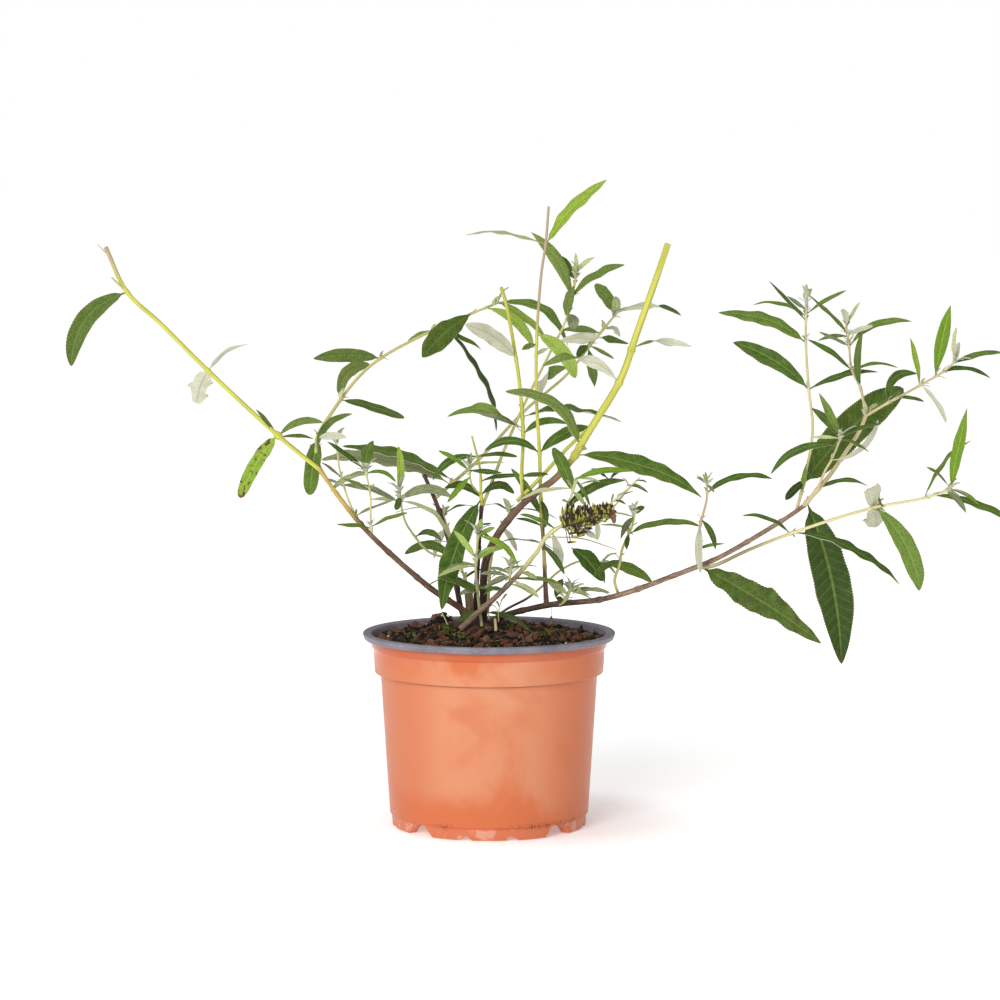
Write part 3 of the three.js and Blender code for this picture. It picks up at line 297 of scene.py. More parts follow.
FINE_TWIGS = [
    ("lime middle_bough 1.35 1.2", "19 223 -10, 31 235 -15, 43 248 -21, 55 261 -29, 66 271 -39"),
    ("tan left_outer_shoot .6 .3", "-255.6 389 -40, -258.4 391.6 -41, -262.4 395.6 -42"),
    ("green left_outer_shoot 1.1 .6", "-244.2 365 -38, -248.2 368.6 -41, -253.2 373.4 -44"),
    ("tan front_spike_shoot .75 .5", "81 220 -74, 91 229 -78, 101.5 238.5 -80"),
    ("tan root_crown 1 1.2", "4 143 2, 4.5 138 0, 4.7 134.5 -2"),
    ("tan right_bough .2 .2", "42 151 0, 42.3 147 -1, 42.2 143.5 -1"),
    ("brown right_bough .7 1.5", "42.2 144.5 -1, 42 142 -1, 42.3 139.5 -1"),
    ("pale root_crown .5 .4", "-27 134 10, -29 141 16, -32 147 22"),
    ("pale root_crown .45 .3", "6.4 141 -8, 6.5 148 -10, 8 154 -12, 10.8 159.5 -14"),
    ("pale root_crown .4 .3", "-.3 143 -4, .3 151 -6, 2.5 152.3 -8, 4.8 150.5 -9, 6 147 -9"),
]
# Cushions of moss and seedlings on the potting mix: across, back, radius, how many, longest leaf.
MOSS = """-27 -2 6 26 4.5, -33 8 5 16 4, -19 -22 5 14 3.5, 15 14 5 12 4.5, 34 -14 7 12 3.5, 47 6 6 10 3,
    -52 -6 5 6 3"""
# Cut, broken, spent and dry shoots, on which no tufts or buds grow.
BARE = {"left_outer_shoot", "tall_cut_shoot", "front_spike_shoot", "tall_dry_shoot", "inner_shoot"}
# Where a stem ends in a cut, though the twigs forked from it go on growing.
CUT_END = [-11.5, 267, 0]
# The share of its length from which a bough turns green, and the share up to which it is darker.
GREENING = {"back_bough": 0.6, "left_bough": 0.67, "middle_bough": 0.86, "front_bough": 0.7}
DARK_FOOT = {"middle_bough": 0.44, "upright_bough": 0.9, "right_bough": 0.38}

# ---- Places, curves and dice ----


def place(across, up, back):
    """The point that the front elevation shows at (across, up), at a depth behind the pot's axis."""
    spread = (EYE_AWAY + back) / EYE_AWAY
    high = EYE_UP + (up - EYE_UP) * spread - LINE_DROP
    return np.array([EYE_ACROSS + (across - EYE_ACROSS) * spread, back, high])


def unit(vector):
    return vector / max(np.linalg.norm(vector), 1e-9)


def ramp(value, start, end):
    """How far a value has come from start to end, from 0 to 1."""
    return np.clip((value - start) / (end - start), 0, 1)


class Curve:
    """A centripetal Catmull-Rom curve, walked by shares of its length."""

    def __init__(self, points):
        self.points = [np.asarray(point, float) for point in points]
        self.steps = np.linspace(0, 1, 201)
        samples = np.array([self.at(step) for step in self.steps])
        self.marks = travelled(samples)
        self.length = self.marks[-1]

    def at(self, step):
        points = self.points
        reach = (len(points) - 1) * step
        k = min(int(reach), len(points) - 2)
        weight = reach - k
        b, c = points[k], points[k + 1]
        a = points[k - 1] if k > 0 else 2 * b - c
        d = points[k + 2] if k + 2 < len(points) else 2 * c - b
        spans = [math.sqrt(np.linalg.norm(q - p)) for p, q in ((a, b), (b, c), (c, d))]
        leave = (b - a) / spans[0] - (c - a) / (spans[0] + spans[1]) + (c - b) / spans[1]
        arrive = (c - b) / spans[1] - (d - b) / (spans[1] + spans[2]) + (d - c) / spans[2]
        leave, arrive = leave * spans[1], arrive * spans[1]
        bend = -3 * b + 3 * c - 2 * leave - arrive
        ease = 2 * b - 2 * c + leave + arrive
        return b + weight * (leave + weight * (bend + weight * ease))

    def share(self, share):
        return self.at(np.interp(share * self.length, self.marks, self.steps))

    def spaced(self, count):
        return np.array([self.share(k / count) for k in range(count + 1)])

    def knots(self):
        """The corners of the straight stretches that the solid stem is made of."""
        return self.spaced(max(2, int(self.length / LIMB_STEP + 0.5)))


def travelled(path):
    """The way gone along a path at each of its points."""
    return np.concatenate([[0], np.cumsum(np.linalg.norm(np.diff(path, axis=0), axis=1))])


def on_knots(knots, share):
    """A place on the straight stretches between knots."""
    stretch = min(share, 0.995) * (len(knots) - 1)
    k = int(stretch)
    return knots[k] + (knots[k + 1] - knots[k]) * (stretch - k)


def direction(path, k):
    return unit(path[min(k + 1, len(path) - 1)] - path[max(k - 1, 0)])


def make_dice(seed):
    state = seed * 7919 + 17

    def dice():
        nonlocal state
        state = state * 16807 % 2147483647
        return state / 2147483647

    return dice


def turned_about(vector, axis, angle):
    level = axis * np.dot(axis, vector)
    return level + (vector - level) * math.cos(angle) + np.cross(axis, vector) * math.sin(angle)


# ---- Where leaves go ----


def lay_leaf(root, leaf, chance, swing):
    """A leaf's middle line, size and upper face, from what the front elevation shows of it."""
    _, tip_across, tip_up, breadth, arch, look, *depth = leaf
    face = -1 if look == "felt" else 1
    root_up = EYE_UP + (root[2] + LINE_DROP - EYE_UP) * (EYE_AWAY / (EYE_AWAY + root[1]))
    seen = np.linalg.norm(place(tip_across, tip_up, root[1]) - root)
    inward = math.sqrt(max(0, (LEAF_SLIM * breadth) ** 2 - seen**2))
    away = face if tip_up > root_up else -face
    lean = away * min(inward, MOST_REACH, 1.3 * seen) + (chance - 0.5) * LEAN * seen
    tip = place(tip_across, tip_up, (depth[0] if depth else root[1] + lean) + swing)
    length = np.linalg.norm(tip - root)
    along = unit(tip - root)
    wide = max(breadth, length / LEAF_THIN)
    roll = math.acos(min(1, breadth / wide))
    facing = unit(FRONT - along * np.dot(FRONT, along))
    side = np.cross(along, facing)
    side = -side if side[2] < 0 else side
    upper = unit(facing * face * math.cos(roll) + side * math.sin(roll))
    lift = np.array([-along[2], 0, along[0]])
    lift = unit(-lift if lift[2] < 0 else lift)
    rise = lift * 2 * ARCH_HEIGHT * arch * length
    return {"root": root, "tip": tip, "rise": rise, "wide": wide, "upper": upper}


def lay_paired(root, stem_along, bearing, length, rise=PAIR_RISE, droop=PAIR_DROOP, slim=LEAF_SLIM):
    """One leaf of an opposite pair, which stands out from its stem at a bearing about it."""
    level = unit(RIGHT - stem_along * stem_along[0])
    outward = unit(turned_about(level, stem_along, bearing) + stem_along * rise)
    tip = root + outward * length - UP * droop * length
    along = unit(tip - root)
    upper = unit(UP - along * along[2])
    arch = upper * 2 * PAIR_ARCH * np.linalg.norm(tip - root)
    return {"root": root, "tip": tip, "rise": arch, "wide": length / slim, "upper": upper}

# ---- Meshes ----


class Heap:
    """Points and faces in millimetres that end up joined as one piece."""

    def __init__(self):
        self.count = 0
        self.nodes = set()
        self.points, self.faces, self.uses = [], [], []
        self.plan, self.tone, self.harm, self.sheets = [], [], [], []

    def add(self, points, faces, use=0, plan=None, tone=0.5, harm=0.0, sheet=None):
        size = len(points)
        self.points.append(points)
        self.faces.extend(face + self.count for face in faces)
        self.uses.extend(np.broadcast_to(use, (sum(len(face) for face in faces),)))
        self.plan.append(np.zeros((size, 3)) if plan is None else plan)
        self.tone.append(np.broadcast_to(tone, (size,)))
        self.harm.append(np.broadcast_to(harm, (size,)))
        if sheet is not None:
            self.sheets.append(np.column_stack([sheet, np.full(size, len(self.sheets))]))
        self.count += size

    def mesh(self, name, crease):
        mesh = bpy.data.meshes.new(name)
        corners = np.concatenate([face.ravel() for face in self.faces])
        sizes = np.concatenate([np.full(len(face), face.shape[1]) for face in self.faces])
        mesh.vertices.add(self.count)
        mesh.vertices.foreach_set("co", (np.concatenate(self.points) * 0.001 + AXIS).ravel())
        mesh.loops.add(len(corners))
        mesh.loops.foreach_set("vertex_index", corners.astype(np.int32))
        mesh.polygons.add(len(sizes))
        mesh.polygons.foreach_set("loop_start", (np.cumsum(sizes) - sizes).astype(np.int32))
        mesh.polygons.foreach_set("material_index", np.array(self.uses, np.int32))
        mesh.polygons.foreach_set("use_smooth", np.ones(len(sizes), bool))
        mesh.update(calc_edges=True)
        mesh.set_sharp_from_angle(angle=math.radians(crease))
        for label, parts in (("plan", self.plan), ("tone", self.tone), ("harm", self.harm)):
            kind, field = ("FLOAT_VECTOR", "vector") if label == "plan" else ("FLOAT", "value")
            values = np.concatenate(parts).ravel().astype(np.float32)
            mesh.attributes.new(label, kind, "POINT").data.foreach_set(field, values)
        if self.sheets:
            self.unfold(mesh, corners)
        return mesh

    def unfold(self, mesh, corners):
        """Gives every leaf a cell of its own in the map that surface detail is baked to."""
        across = math.ceil(math.sqrt(len(self.sheets) / 3))
        down = math.ceil(len(self.sheets) / across)
        place_in, number = np.split(np.concatenate(self.sheets), [2], axis=1)
        cell = np.column_stack([number % across, number // across])
        flat = (cell + 0.03 + 0.94 * place_in) / [across, down]
        mesh.uv_layers.new(name="OFBake").data.foreach_set("uv", flat[corners].ravel().astype(np.float32))


def add_piece(name, heap, materials, nodes, crease):
    """A piece of the visual model in place of some nodes' solids, smooth up to a crease in degrees."""
    piece = bpy.data.objects.new(name, heap.mesh(name, crease))
    for material in materials:
        piece.data.materials.append(material)
    bpy.context.scene.collection.objects.link(piece)
    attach(piece, "root")
    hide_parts(*nodes)


def grid_faces(rows, columns, wrap=False):
    """Quads between the rows of a grid of points that are listed row by row."""
    row = np.arange(rows - 1)[:, None] * columns
    column = np.arange(columns if wrap else columns - 1)[None, :]
    a, b = row + column, row + (column + 1) % columns
    return np.stack([a, b, b + columns, a + columns], -1).reshape(-1, 4)


def fan_faces(ring, centre):
    """Triangles from a ring of points to one in its middle."""
    return np.stack([ring, np.roll(ring, -1), np.full(len(ring), centre)], -1)


def add_tube(heap, path, radii, sides, relief=None, tone=0.5, dome=0.4, use=0):
    """A closed tube along a path, with rounded ends."""
    count = len(path)
    turns = np.linspace(0, FULL_TURN, sides, endpoint=False)
    travel = travelled(path)
    side = unit(np.cross(direction(path, 0), [0.31, 0.95, 0.05]))
    rings, plan = [], []
    for centre, radius, gone, along in zip(path, radii, travel, [direction(path, k) for k in range(count)]):
        side = unit(side - along * np.dot(side, along))
        spread = np.full(sides, radius)
        if relief is not None:
            spread = spread * (1 + relief(turns, gone))
        rings.append(centre + np.outer(np.cos(turns) * spread, side)
            + np.outer(np.sin(turns) * spread, np.cross(along, side)))
        plan.append(np.column_stack([np.cos(turns) * radius, np.sin(turns) * radius, np.full(sides, gone)]))
    foot = path[0] - direction(path, 0) * radii[0] * dome
    tip = path[-1] + direction(path, count - 1) * radii[-1] * dome
    plan = np.concatenate([*plan, [[0, 0, 0], [0, 0, travel[-1]]]])
    ring = np.arange(sides)
    ends = [fan_faces(ring[::-1], count * sides), fan_faces(ring + (count - 1) * sides, count * sides + 1)]
    tones = np.broadcast_to(tone, (count,))
    tones = np.concatenate([np.repeat(tones, sides), [tones[0], tones[-1]]])
    heap.add(np.concatenate([*rings, [foot, tip]]), [grid_faces(count, sides, True), *ends], use, plan, tones)


# ---- Leaves ----


def blade_rows(length):
    """Stations along a leaf: its stalk, then a notch and a point for every tooth of the margin."""
    teeth = max(5, int(length / TOOTH))
    cells = np.linspace(0.09, 0.965, teeth + 1)
    points = cells[:-1] + 0.7 * (cells[1] - cells[0])
    margin = np.column_stack([cells[:-1], points]).ravel()
    stations = np.concatenate([[0, 0.03, 0.06], margin, [0.965, 0.985, 1]])
    notched = np.zeros(len(stations))
    notched[3:-3:2] = 1
    return stations, notched


def blade_faces(rows, columns):
    """The faces of a leaf from its upper and under grids, with the narrow strips that join them."""
    size = rows * columns
    upper = grid_faces(rows, columns)
    left, right = np.arange(rows) * columns, np.arange(rows) * columns + columns - 1
    foot, tip = np.arange(columns), np.arange(columns) + size - columns
    edges = [(left[:-1], left[1:]), (right[1:], right[:-1]), (foot[1:], foot[:-1]), (tip[:-1], tip[1:])]
    strips = [np.stack([a, b, b + size, a + size], -1) for a, b in edges]
    under_count = len(upper) + sum(len(strip) for strip in strips)
    return [upper, upper[:, ::-1] + size, *strips], np.repeat([0, 1], [len(upper), under_count])


def leaf_outline(s, blunt):
    """How broad a leaf is along its length: a lance, or with parallel sides and a round end."""
    low, high = rng.uniform(0.9, 1.3), rng.uniform(0.85, 1.15)
    peak = low / (low + high)
    lance = (s / peak) ** low * ((1 - s) / (1 - peak)) ** high
    oblong = ramp(s, 0, 0.3) ** 0.5 * np.sqrt(1 - ramp(s, 0.72, 1) ** 2)
    stalk = ramp(s, 0.02, 0.12)
    return (lance * (1 - blunt) + oblong * blunt) * stalk * stalk * (3 - 2 * stalk)


def add_blade(heap, laid, tone, harm, blunt, ragged, wrung=0.0):
    """One leaf: a folded, toothed and puckered blade on an arched midrib, thin at its margin."""
    root, tip, wide = laid["root"], laid["tip"], laid["wide"] * laid["share"]
    length = np.linalg.norm(tip - root)
    stations, notched = blade_rows(length)
    half_across = [0.1, 0.32, 0.56, 0.8, 1] if wide > 6 else [0.16, 0.6, 1]
    across = np.array([*[-v for v in half_across[::-1]], 0, *half_across])
    s, v = stations[:, None], across[None, :]
    beside_rib, side_sign = np.abs(v), np.sign(v)
    middle = (root + tip) / 2 + laid["rise"]
    rib = (1 - s) ** 2 * root + 2 * (1 - s) * s * middle + s**2 * tip
    along = 2 * (1 - s) * (middle - root) + 2 * s * (tip - middle)
    along /= np.linalg.norm(along, axis=1)[:, None]
    beside = np.cross(along, laid["upper"])
    beside /= np.linalg.norm(beside, axis=1)[:, None]
    facing = np.cross(beside, along)

    small = 1 if wide < 6 else 0.5
    twist = rng.normal(0, 0.3) * small * (s - 0.35) + wrung * ramp(s, 0.72, 0.32)
    cos, sin = np.cos(twist), np.sin(twist)
    beside, facing = beside * cos + facing * sin, facing * cos - beside * sin
    bow = np.sin(math.pi * s) * length
    rib = rib + beside * bow * rng.normal(0, 0.018)
    rib = rib + facing * bow * np.sin(7 * s + rng.uniform(0, 6)) * 0.012

    form = leaf_outline(s, blunt)
    tooth = 1 - TOOTH_DEPTH * notched[:, None] * beside_rib**5 * min(1, wide / 8)
    swing = rng.uniform(0, 6, 3) + side_sign[..., None] * rng.uniform(0, 3, 3)
    lobes = np.sin(s[..., None] * [7.0, 15.0, 31.0] + swing) @ [1.0, 0.8, 0.5]
    thin = np.maximum(PETIOLE * np.minimum(1, (1 - s) * 9 + 0.2), form * wide / 2)
    half = thin * tooth * (1 + ragged * lobes * beside_rib)

    vein_pairs = max(5.0, length / VEIN_SPACING)
    phase = s * vein_pairs - beside_rib * 1.35
    ridge = np.abs(phase - np.round(phase)) * 2
    pucker = 0.022 * wide * form * np.sqrt(ridge) * np.minimum(1, beside_rib * 3) * (1.1 - beside_rib)
    fold = rng.uniform(0.08, 0.3)
    hem = rng.uniform(0.02, 0.22)
    wave = rng.uniform(0.02, 0.05) + 2 * ragged
    wave = wave * np.sin(s * vein_pairs * 2.6 + rng.uniform(0, 6) + side_sign * rng.uniform(0, 3))
    groove = -0.02 * wide * form * np.exp(-((v / 0.09) ** 2))
    height = half * (beside_rib * fold - beside_rib**3 * hem + wave * v**2) + pucker + groove
    thick = max(0.3, LEAF_THICKNESS * length) * (1 - 0.62 * v**2) * np.minimum(1, thin / (0.12 * wide))

    top = rib[:, None, :] + beside[:, None, :] * (half * v)[..., None]
    top = top + facing[:, None, :] * height[..., None]
    under = top - facing[:, None, :] * thick[..., None]
    points = np.concatenate([top.reshape(-1, 3), under.reshape(-1, 3)])
    flat = [np.broadcast_to(value, height.shape).ravel() for value in (s, v, vein_pairs)]
    plan = np.tile(np.column_stack(flat), (2, 1))
    sheet = np.column_stack([plan[:, 0], 0.01 + (plan[:, 1] + 1) * 0.235])
    sheet[len(sheet) // 2 :, 1] += 0.51
    faces, uses = blade_faces(*height.shape)
    heap.add(points, faces, uses, plan, tone, harm, sheet)

# ---- Growing the plant ----

leaves = {look: Heap() for look in ("dark", "mid", "bright", "lime", "grey", "young", "felt", "tan")}
stems = {kind: Heap() for kind in ("lime", "green", "pale", "tan", "brown", "straw")}
seeds = Heap()
knots_of, boughs = {}, {}
rng = np.random.default_rng(20)


def solid_points(name):
    """The corners of a node's solid about the pot's axis, in millimetres, ready to be searched."""
    corners = [(np.array(corner.co) - AXIS) * 1000 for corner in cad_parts[name].data.vertices]
    tree = kdtree.KDTree(len(corners))
    for k, corner in enumerate(corners):
        tree.insert(corner, k)
    tree.balance()
    return tree


def in_solid(tree, laid):
    return tree.find(laid["tip"])[2] < SOLID_MATCH


def settle(tree, knots, leaf, chance):
    """The leaf as the solid has it: the first swing whose tip is one of the solid's corners."""
    root = on_knots(knots, leaf[0])
    swung = [lay_leaf(root, leaf, chance, swing) for swing in SWINGS]
    return next((laid for laid in swung if in_solid(tree, laid)), swung[0])


def bear(look, name, laid, odd=()):
    """Adds a leaf. High up and out to the left it gets a painted sheen, paler and greyer as if more strongly
    lit, and a high or a large one is fuller.
    """
    across, _, up = laid["tip"]
    high = ramp(up, 245, 305) * ramp(across, 140, 110)
    lit = 0.85 * max(high, 0.75 * ramp(across, -50, -110))
    laid["share"] = min(1, BLADE_SHARE + 0.03 * lit + 0.22 * high + 0.23 * ramp(laid["wide"], 9, 14))
    # The brightest leaves turn their upper faces to the front.
    if look in ("lime", "bright") and laid["upper"][1] > 0:
        laid["upper"] = -laid["upper"]
    odd = odd or (0.0, 0.8 * rng.uniform(0, 1) ** 2, rng.uniform(0.02, 0.06))
    *odd, kept_arch = [*odd, *(0, 1)[len(odd) - 3 :]]
    laid["rise"] = laid["rise"] * kept_arch
    # The tone carries each leaf's own chance tone plus the painted sheen of the lit ones.
    add_blade(leaves[look], laid, rng.uniform(-0.3, 1.2) + lit, *odd)
    leaves[look].nodes.add(name)


def bear_stalk(name, laid):
    """A thin dry stalk where a leaf would be."""
    path = np.array([laid["root"], (laid["root"] + laid["tip"] + laid["rise"]) / 2, laid["tip"]])
    add_tube(stems["green"], Curve(path).spaced(8), np.linspace(0.65, 0.3, 9), 6, None, rng.uniform(0, 0.3))
    stems["green"].nodes.add(name)


def square_relief(turns, travel):
    """Young stems are faintly four-sided."""
    return 0.05 * np.cos(4 * turns)


def grow(name, base, limb, dice, tree, skin):
    """A shoot with its leaves and forks. Its base is the point on its bearer, or none on the crown."""
    curve = Curve([*base, *[place(*point) for point in limb["line"]]])
    knots = curve.knots()
    nodes = sorted({leaf[0] for leaf, _ in limb["leaves"] if leaf[0] < 0.99})
    for leaf, odd in limb["leaves"]:
        laid = settle(tree, knots, leaf, dice())
        laid["root"] = curve.share(min(leaf[0], 0.998))
        if leaf[5] == "tan" and leaf[3] <= 2:
            bear_stalk(name, laid)
        else:
            bear(leaf[5], name, laid, odd)
    if "pairs" in limb:
        nodes = grow_pairs(name, curve, knots, *words(limb["pairs"]), dice, tree)
    if "spike" in limb:
        grow_spike(curve, *words(limb["spike"]))
    count = max(4, int(curve.length / STEM_STEP))
    kind, woody_to, dry_from = skin
    shares = np.linspace(0, 1, count + 1)
    woody = ramp(shares, woody_to, woody_to - 0.1) * (0.55 if kind == "straw" else 1)
    age = ramp(shares, dry_from, dry_from + 0.12) - woody
    radii = limb["foot"] + (limb["tip"] - limb["foot"]) * shares
    for node in nodes:
        radii = radii * (1 + NODE_SWELL * np.exp(-(((shares - node) * curve.length / NODE_SPAN) ** 2)))
    dome = 0.05 if name in BARE else 0.25
    add_tube(stems[kind], curve.spaced(count), radii, STEM_SIDES, square_relief, age, dome)
    stems[kind].nodes.add(name)
    if name not in BARE and limb["line"][-1] != CUT_END:
        grow_tufts(name, curve, nodes)
    for fork in limb["forks"]:
        grow(name, [on_knots(knots, fork["at"])], fork, dice, tree, skin)


def grow_pairs(name, curve, knots, count, first, length, look, dice, tree):
    """Opposite pairs of leaves, each pair turned a quarter from the last, where the solid has them.

    A leaf that would show nothing but its underside from the front is left out.
    """
    nodes = [first + (1 - first) * node / (count - 1) for node in range(int(count))]
    for k in range(2 * len(nodes)):
        node = k // 2
        bearing = math.pi * (k % 2 + node % 2 / 2) + PAIR_TURN * (2 * dice() - 1)
        along = direction(knots, int(nodes[node] * (len(knots) - 1) + 0.5))
        laid = lay_paired(on_knots(knots, nodes[node]), along, bearing, length * (1 - 0.35 * dice()))
        if in_solid(tree, laid) and laid["upper"][1] < 0.7:
            laid["root"] = curve.share(min(nodes[node], 0.998))
            bear(look, name, laid)
    return nodes


def tuft(name, root, along, length, look, bearing):
    """A pair of small leaves in the angle of a leaf stalk."""
    for side in (0, math.pi):
        size = length * rng.uniform(0.75, 1.15)
        slim = rng.uniform(1.7, 2.3)
        around = bearing + side + rng.normal(0, 0.3)
        bear(look, name, lay_paired(root, along, around, size, rng.uniform(0.8, 2), 0, slim), (0, 0.6, 0.01))


def grow_tufts(name, curve, nodes):
    """Small opposite leaves in the leaf axils and a bud of young ones at a growing tip."""
    for node in nodes:
        along = unit(curve.share(min(node + 0.02, 1)) - curve.share(max(node - 0.02, 0)))
        look = ["mid", "grey", "young", "young"][int(rng.integers(4))]
        tuft(name, curve.share(node), along, rng.uniform(4, 8), look, rng.uniform(0, math.pi))
    along = unit(curve.share(1) - curve.share(0.96))
    for pair, length in enumerate((12, 9, 7)):
        bearing = pair * math.pi / 2 + rng.uniform(0, 1)
        tuft(name, curve.share(0.995 - 0.01 * pair), along, length, "young", bearing)


def grow_spike(curve, first, radius):
    """Long upright seed capsules, crowded round the end of a spent flower spike."""
    whorls, in_whorl = 24, 11
    for k, share in enumerate(np.linspace(first + 0.05, 1, whorls)):
        centre = curve.share(share)
        along = unit(curve.share(min(share + 0.02, 1)) - curve.share(share - 0.02))
        level = unit(np.cross(along, UP))
        reach = radius * (1.4 - 0.85 * k / whorls)
        for i in range(in_whorl):
            outward = turned_about(level, along, i * 0.571 + k * 0.3 + rng.normal(0, 0.2))
            droop = 1 + 0.6 * max(0, -outward[2]) * max(0, 1 - k / 9)
            foot = centre + outward * reach * droop * rng.uniform(0.25, 0.75)
            lean = unit(outward * 0.8 + along * 0.25 + UP * 0.75)
            add_capsule(centre, foot, lean, reach * rng.uniform(0.34, 0.5))


def add_capsule(centre, foot, lean, size):
    """A stalk and its long capsule, dry and dark or still green."""
    add_tube(seeds, np.array([centre, (centre + foot) / 2, foot]), [0.35, 0.3, 0.35], 4, None, 0.5, 0.2, 2)
    path = foot + lean * np.linspace(0, 1, 6)[:, None] * size
    green = 1 if rng.uniform(0, 1) < 0.42 else 0
    radii = rng.uniform(0.62, 0.85) * np.array([0.5, 1, 1.1, 0.95, 0.6, 0.2])
    add_tube(seeds, path, radii, 7, None, rng.uniform(0, 1), 0.4, green)


def rumple(x, y, z):
    return noise.noise(Vector((x, y, z)))


def bark_relief(seed):
    """Furrows that run along the bough, grit, and knobbly leaf scars in opposite pairs."""

    def relief(turns, travel):
        ring = [(math.cos(turn), math.sin(turn)) for turn in turns]
        furrow = np.array([rumple(x * 2.4, y * 2.4, travel / 11 + seed) for x, y in ring])
        grit = np.array([rumple(x * 6, y * 6, travel / 2.2 + seed) for x, y in ring])
        node = round(travel / BOUGH_NODE_SPACING)
        away = travel - node * BOUGH_NODE_SPACING
        knuckle = 0.16 * math.exp(-((away / 1.7) ** 2))
        scar = np.maximum(0, np.cos(2 * (turns - node * math.pi / 4 - seed))) ** 6
        return 0.1 * furrow + 0.05 * grit + knuckle + 0.3 * scar * math.exp(-(((away - 1) / 1.2) ** 2))

    return relief


def base_of(limb):
    """The point where a limb leaves its bearer, or none for one that starts on the crown."""
    bearer = limb["look"][0]
    return [on_knots(knots_of[bearer], limb["at"])] if bearer in knots_of else []


def grow_bough(name, limb, seed):
    """A bare bough with its bark, greening or darker along a part of its length."""
    curve = Curve([*base_of(limb), *[place(*point) for point in limb["line"]]])
    count = int(curve.length / BOUGH_STEP)
    shares = np.linspace(0, 1, count + 1)
    radii = limb["foot"] * (1 - shares) + limb["tip"] * shares + 0.4 * np.exp(-shares * curve.length / 5)
    green_from, dark_to = GREENING.get(name, 2), DARK_FOOT.get(name, -1)
    age = ramp(shares, green_from, green_from + 0.16) - ramp(shares, dark_to, dark_to - 0.2)
    boughs[name], knots_of[name] = Heap(), curve.knots()
    add_tube(boughs[name], curve.spaced(count), radii, BOUGH_SIDES, bark_relief(seed), age, 0.15)


for number, (name, limb) in enumerate(LIMBS.items()):
    grow_bough(name, limb, number * 3.7)
for number, (name, limb) in enumerate(SHOOTS.items()):
    grow(name, base_of(limb), limb, make_dice(number + 1), solid_points(name), limb["look"][1:])

for head, line in FINE_TWIGS:
    kind, name, foot, tip = words(head)
    path = Curve([place(*point) for point in table(line)]).spaced(14)
    add_tube(stems[kind], path, np.linspace(foot, tip, 15), 8, None, 0.0, 0.3)
    stems[kind].nodes.add(name)
for name, group in FINE_LEAVES:
    for (look, *ends, breadth), odd in leaf_rows(group):
        root, tip = place(*ends[:3]), place(*ends[3:])
        rise = UP * 0.2 * np.linalg.norm(tip - root)
        upper = np.array([0.1, -0.6, 0.8]) * (-1 if look == "felt" else 1)
        laid = {"root": root, "tip": tip, "rise": rise, "wide": breadth / BLADE_SHARE, "upper": upper}
        bear(look, name, laid, odd)

# ---- Pot ----

# Round the foot, in degrees: half the gap between two feet, where each foot's two nicks are from its
# middle, and half a nick.
GAP_HALF, NICK_AT, NICK_HALF = 9.9, 13.7, 3.9
GAP_EDGES = [0, 0.8, 2.2, 3.0, 3.9, 4.1, 5.5, 7.2, 8.6, GAP_HALF, 10.4]
NICK_EDGES = [-NICK_HALF, -2.4, -0.8, 0.8, 2.4, NICK_HALF]


def column_angles():
    """Angles round the pot, closer together at the gaps between its feet."""
    found = list(np.linspace(0, 360, 240, endpoint=False))
    for quarter in (0, 90, 180, 270):
        found += [quarter + 45 + side * edge for edge in GAP_EDGES for side in (-1, 1)]
        found += [quarter + side * NICK_AT + edge for edge in NICK_EDGES for side in (-1, 1)]
    found = sorted({round(angle % 360, 1) for angle in found})
    kept = [found[0]] + [b for a, b in zip(found, found[1:]) if b - a > 0.25]
    return np.radians(kept)


def foot_edge(turns):
    """How high the lower edge of the foot ring is: wide gaps on the diagonals, nicks in each foot."""
    degrees = np.degrees(turns)
    from_gap = np.abs(degrees % 90 - 45)
    from_nick = np.abs(np.abs((degrees + 45) % 90 - 45) - NICK_AT)
    return np.maximum(ramp(from_gap, GAP_HALF, 4.1) * 7.4, ramp(from_nick, NICK_HALF, 0.8) * 2.6)


def add_lathe(heap, profile, turns):
    """A profile of (radius, height), each a number or one for every angle, swept round the pot's axis."""
    rings = []
    for point in profile:
        radius, height = [np.broadcast_to(value, turns.shape) for value in point]
        rings.append(np.column_stack([radius * np.cos(turns), radius * np.sin(turns), height]))
    heap.add(np.concatenate(rings), [grid_faces(len(profile), len(turns), True)])


def rounded(profile, radius=0.7, steps=3):
    """The profile with each inner corner turned in a small arc."""
    points = [np.array(point, float) for point in profile]
    found = [points[0]]
    for before, corner, after in zip(points, points[1:], points[2:]):
        into, out = before - corner, after - corner
        cut = min(radius, np.linalg.norm(into) / 2.2, np.linalg.norm(out) / 2.2)
        a, b = corner + unit(into) * cut, corner + unit(out) * cut
        for t in np.linspace(0, 1, steps + 1):
            found.append((1 - t) ** 2 * a + 2 * (1 - t) * t * corner + t * t * b)
    return [*found, points[-1]]


turns = column_angles()
edge = foot_edge(turns)
underside = [(0.01, 5.7), (20, 5.6), (56, 5.5), (58.4, np.maximum(edge, 5)), (58.9, edge + 0.3)]
foot = [(59.4, edge), (65, edge), (65.8, edge + 0.5), (66, edge + (7.8 - edge) * 0.5), (66.1, 7.8)]
body = [(66.1, 7.8), (66.2, 8.1), (67.4, 8.5), (73.4, 103.2), (77.4, 104.3), (78.4, 120.9), (79.7, 121.5)]
inside = [(79.5, 126.4), (77.9, 120.6), (75.9, 108), (71.9, 104.8), (65.8, 11.5), (64.5, 10), (0.01, 10)]
shell = Heap()
add_lathe(shell, [*underside, *foot, *rounded([*body, (80.6, 126.5)])[1:], *inside], turns)

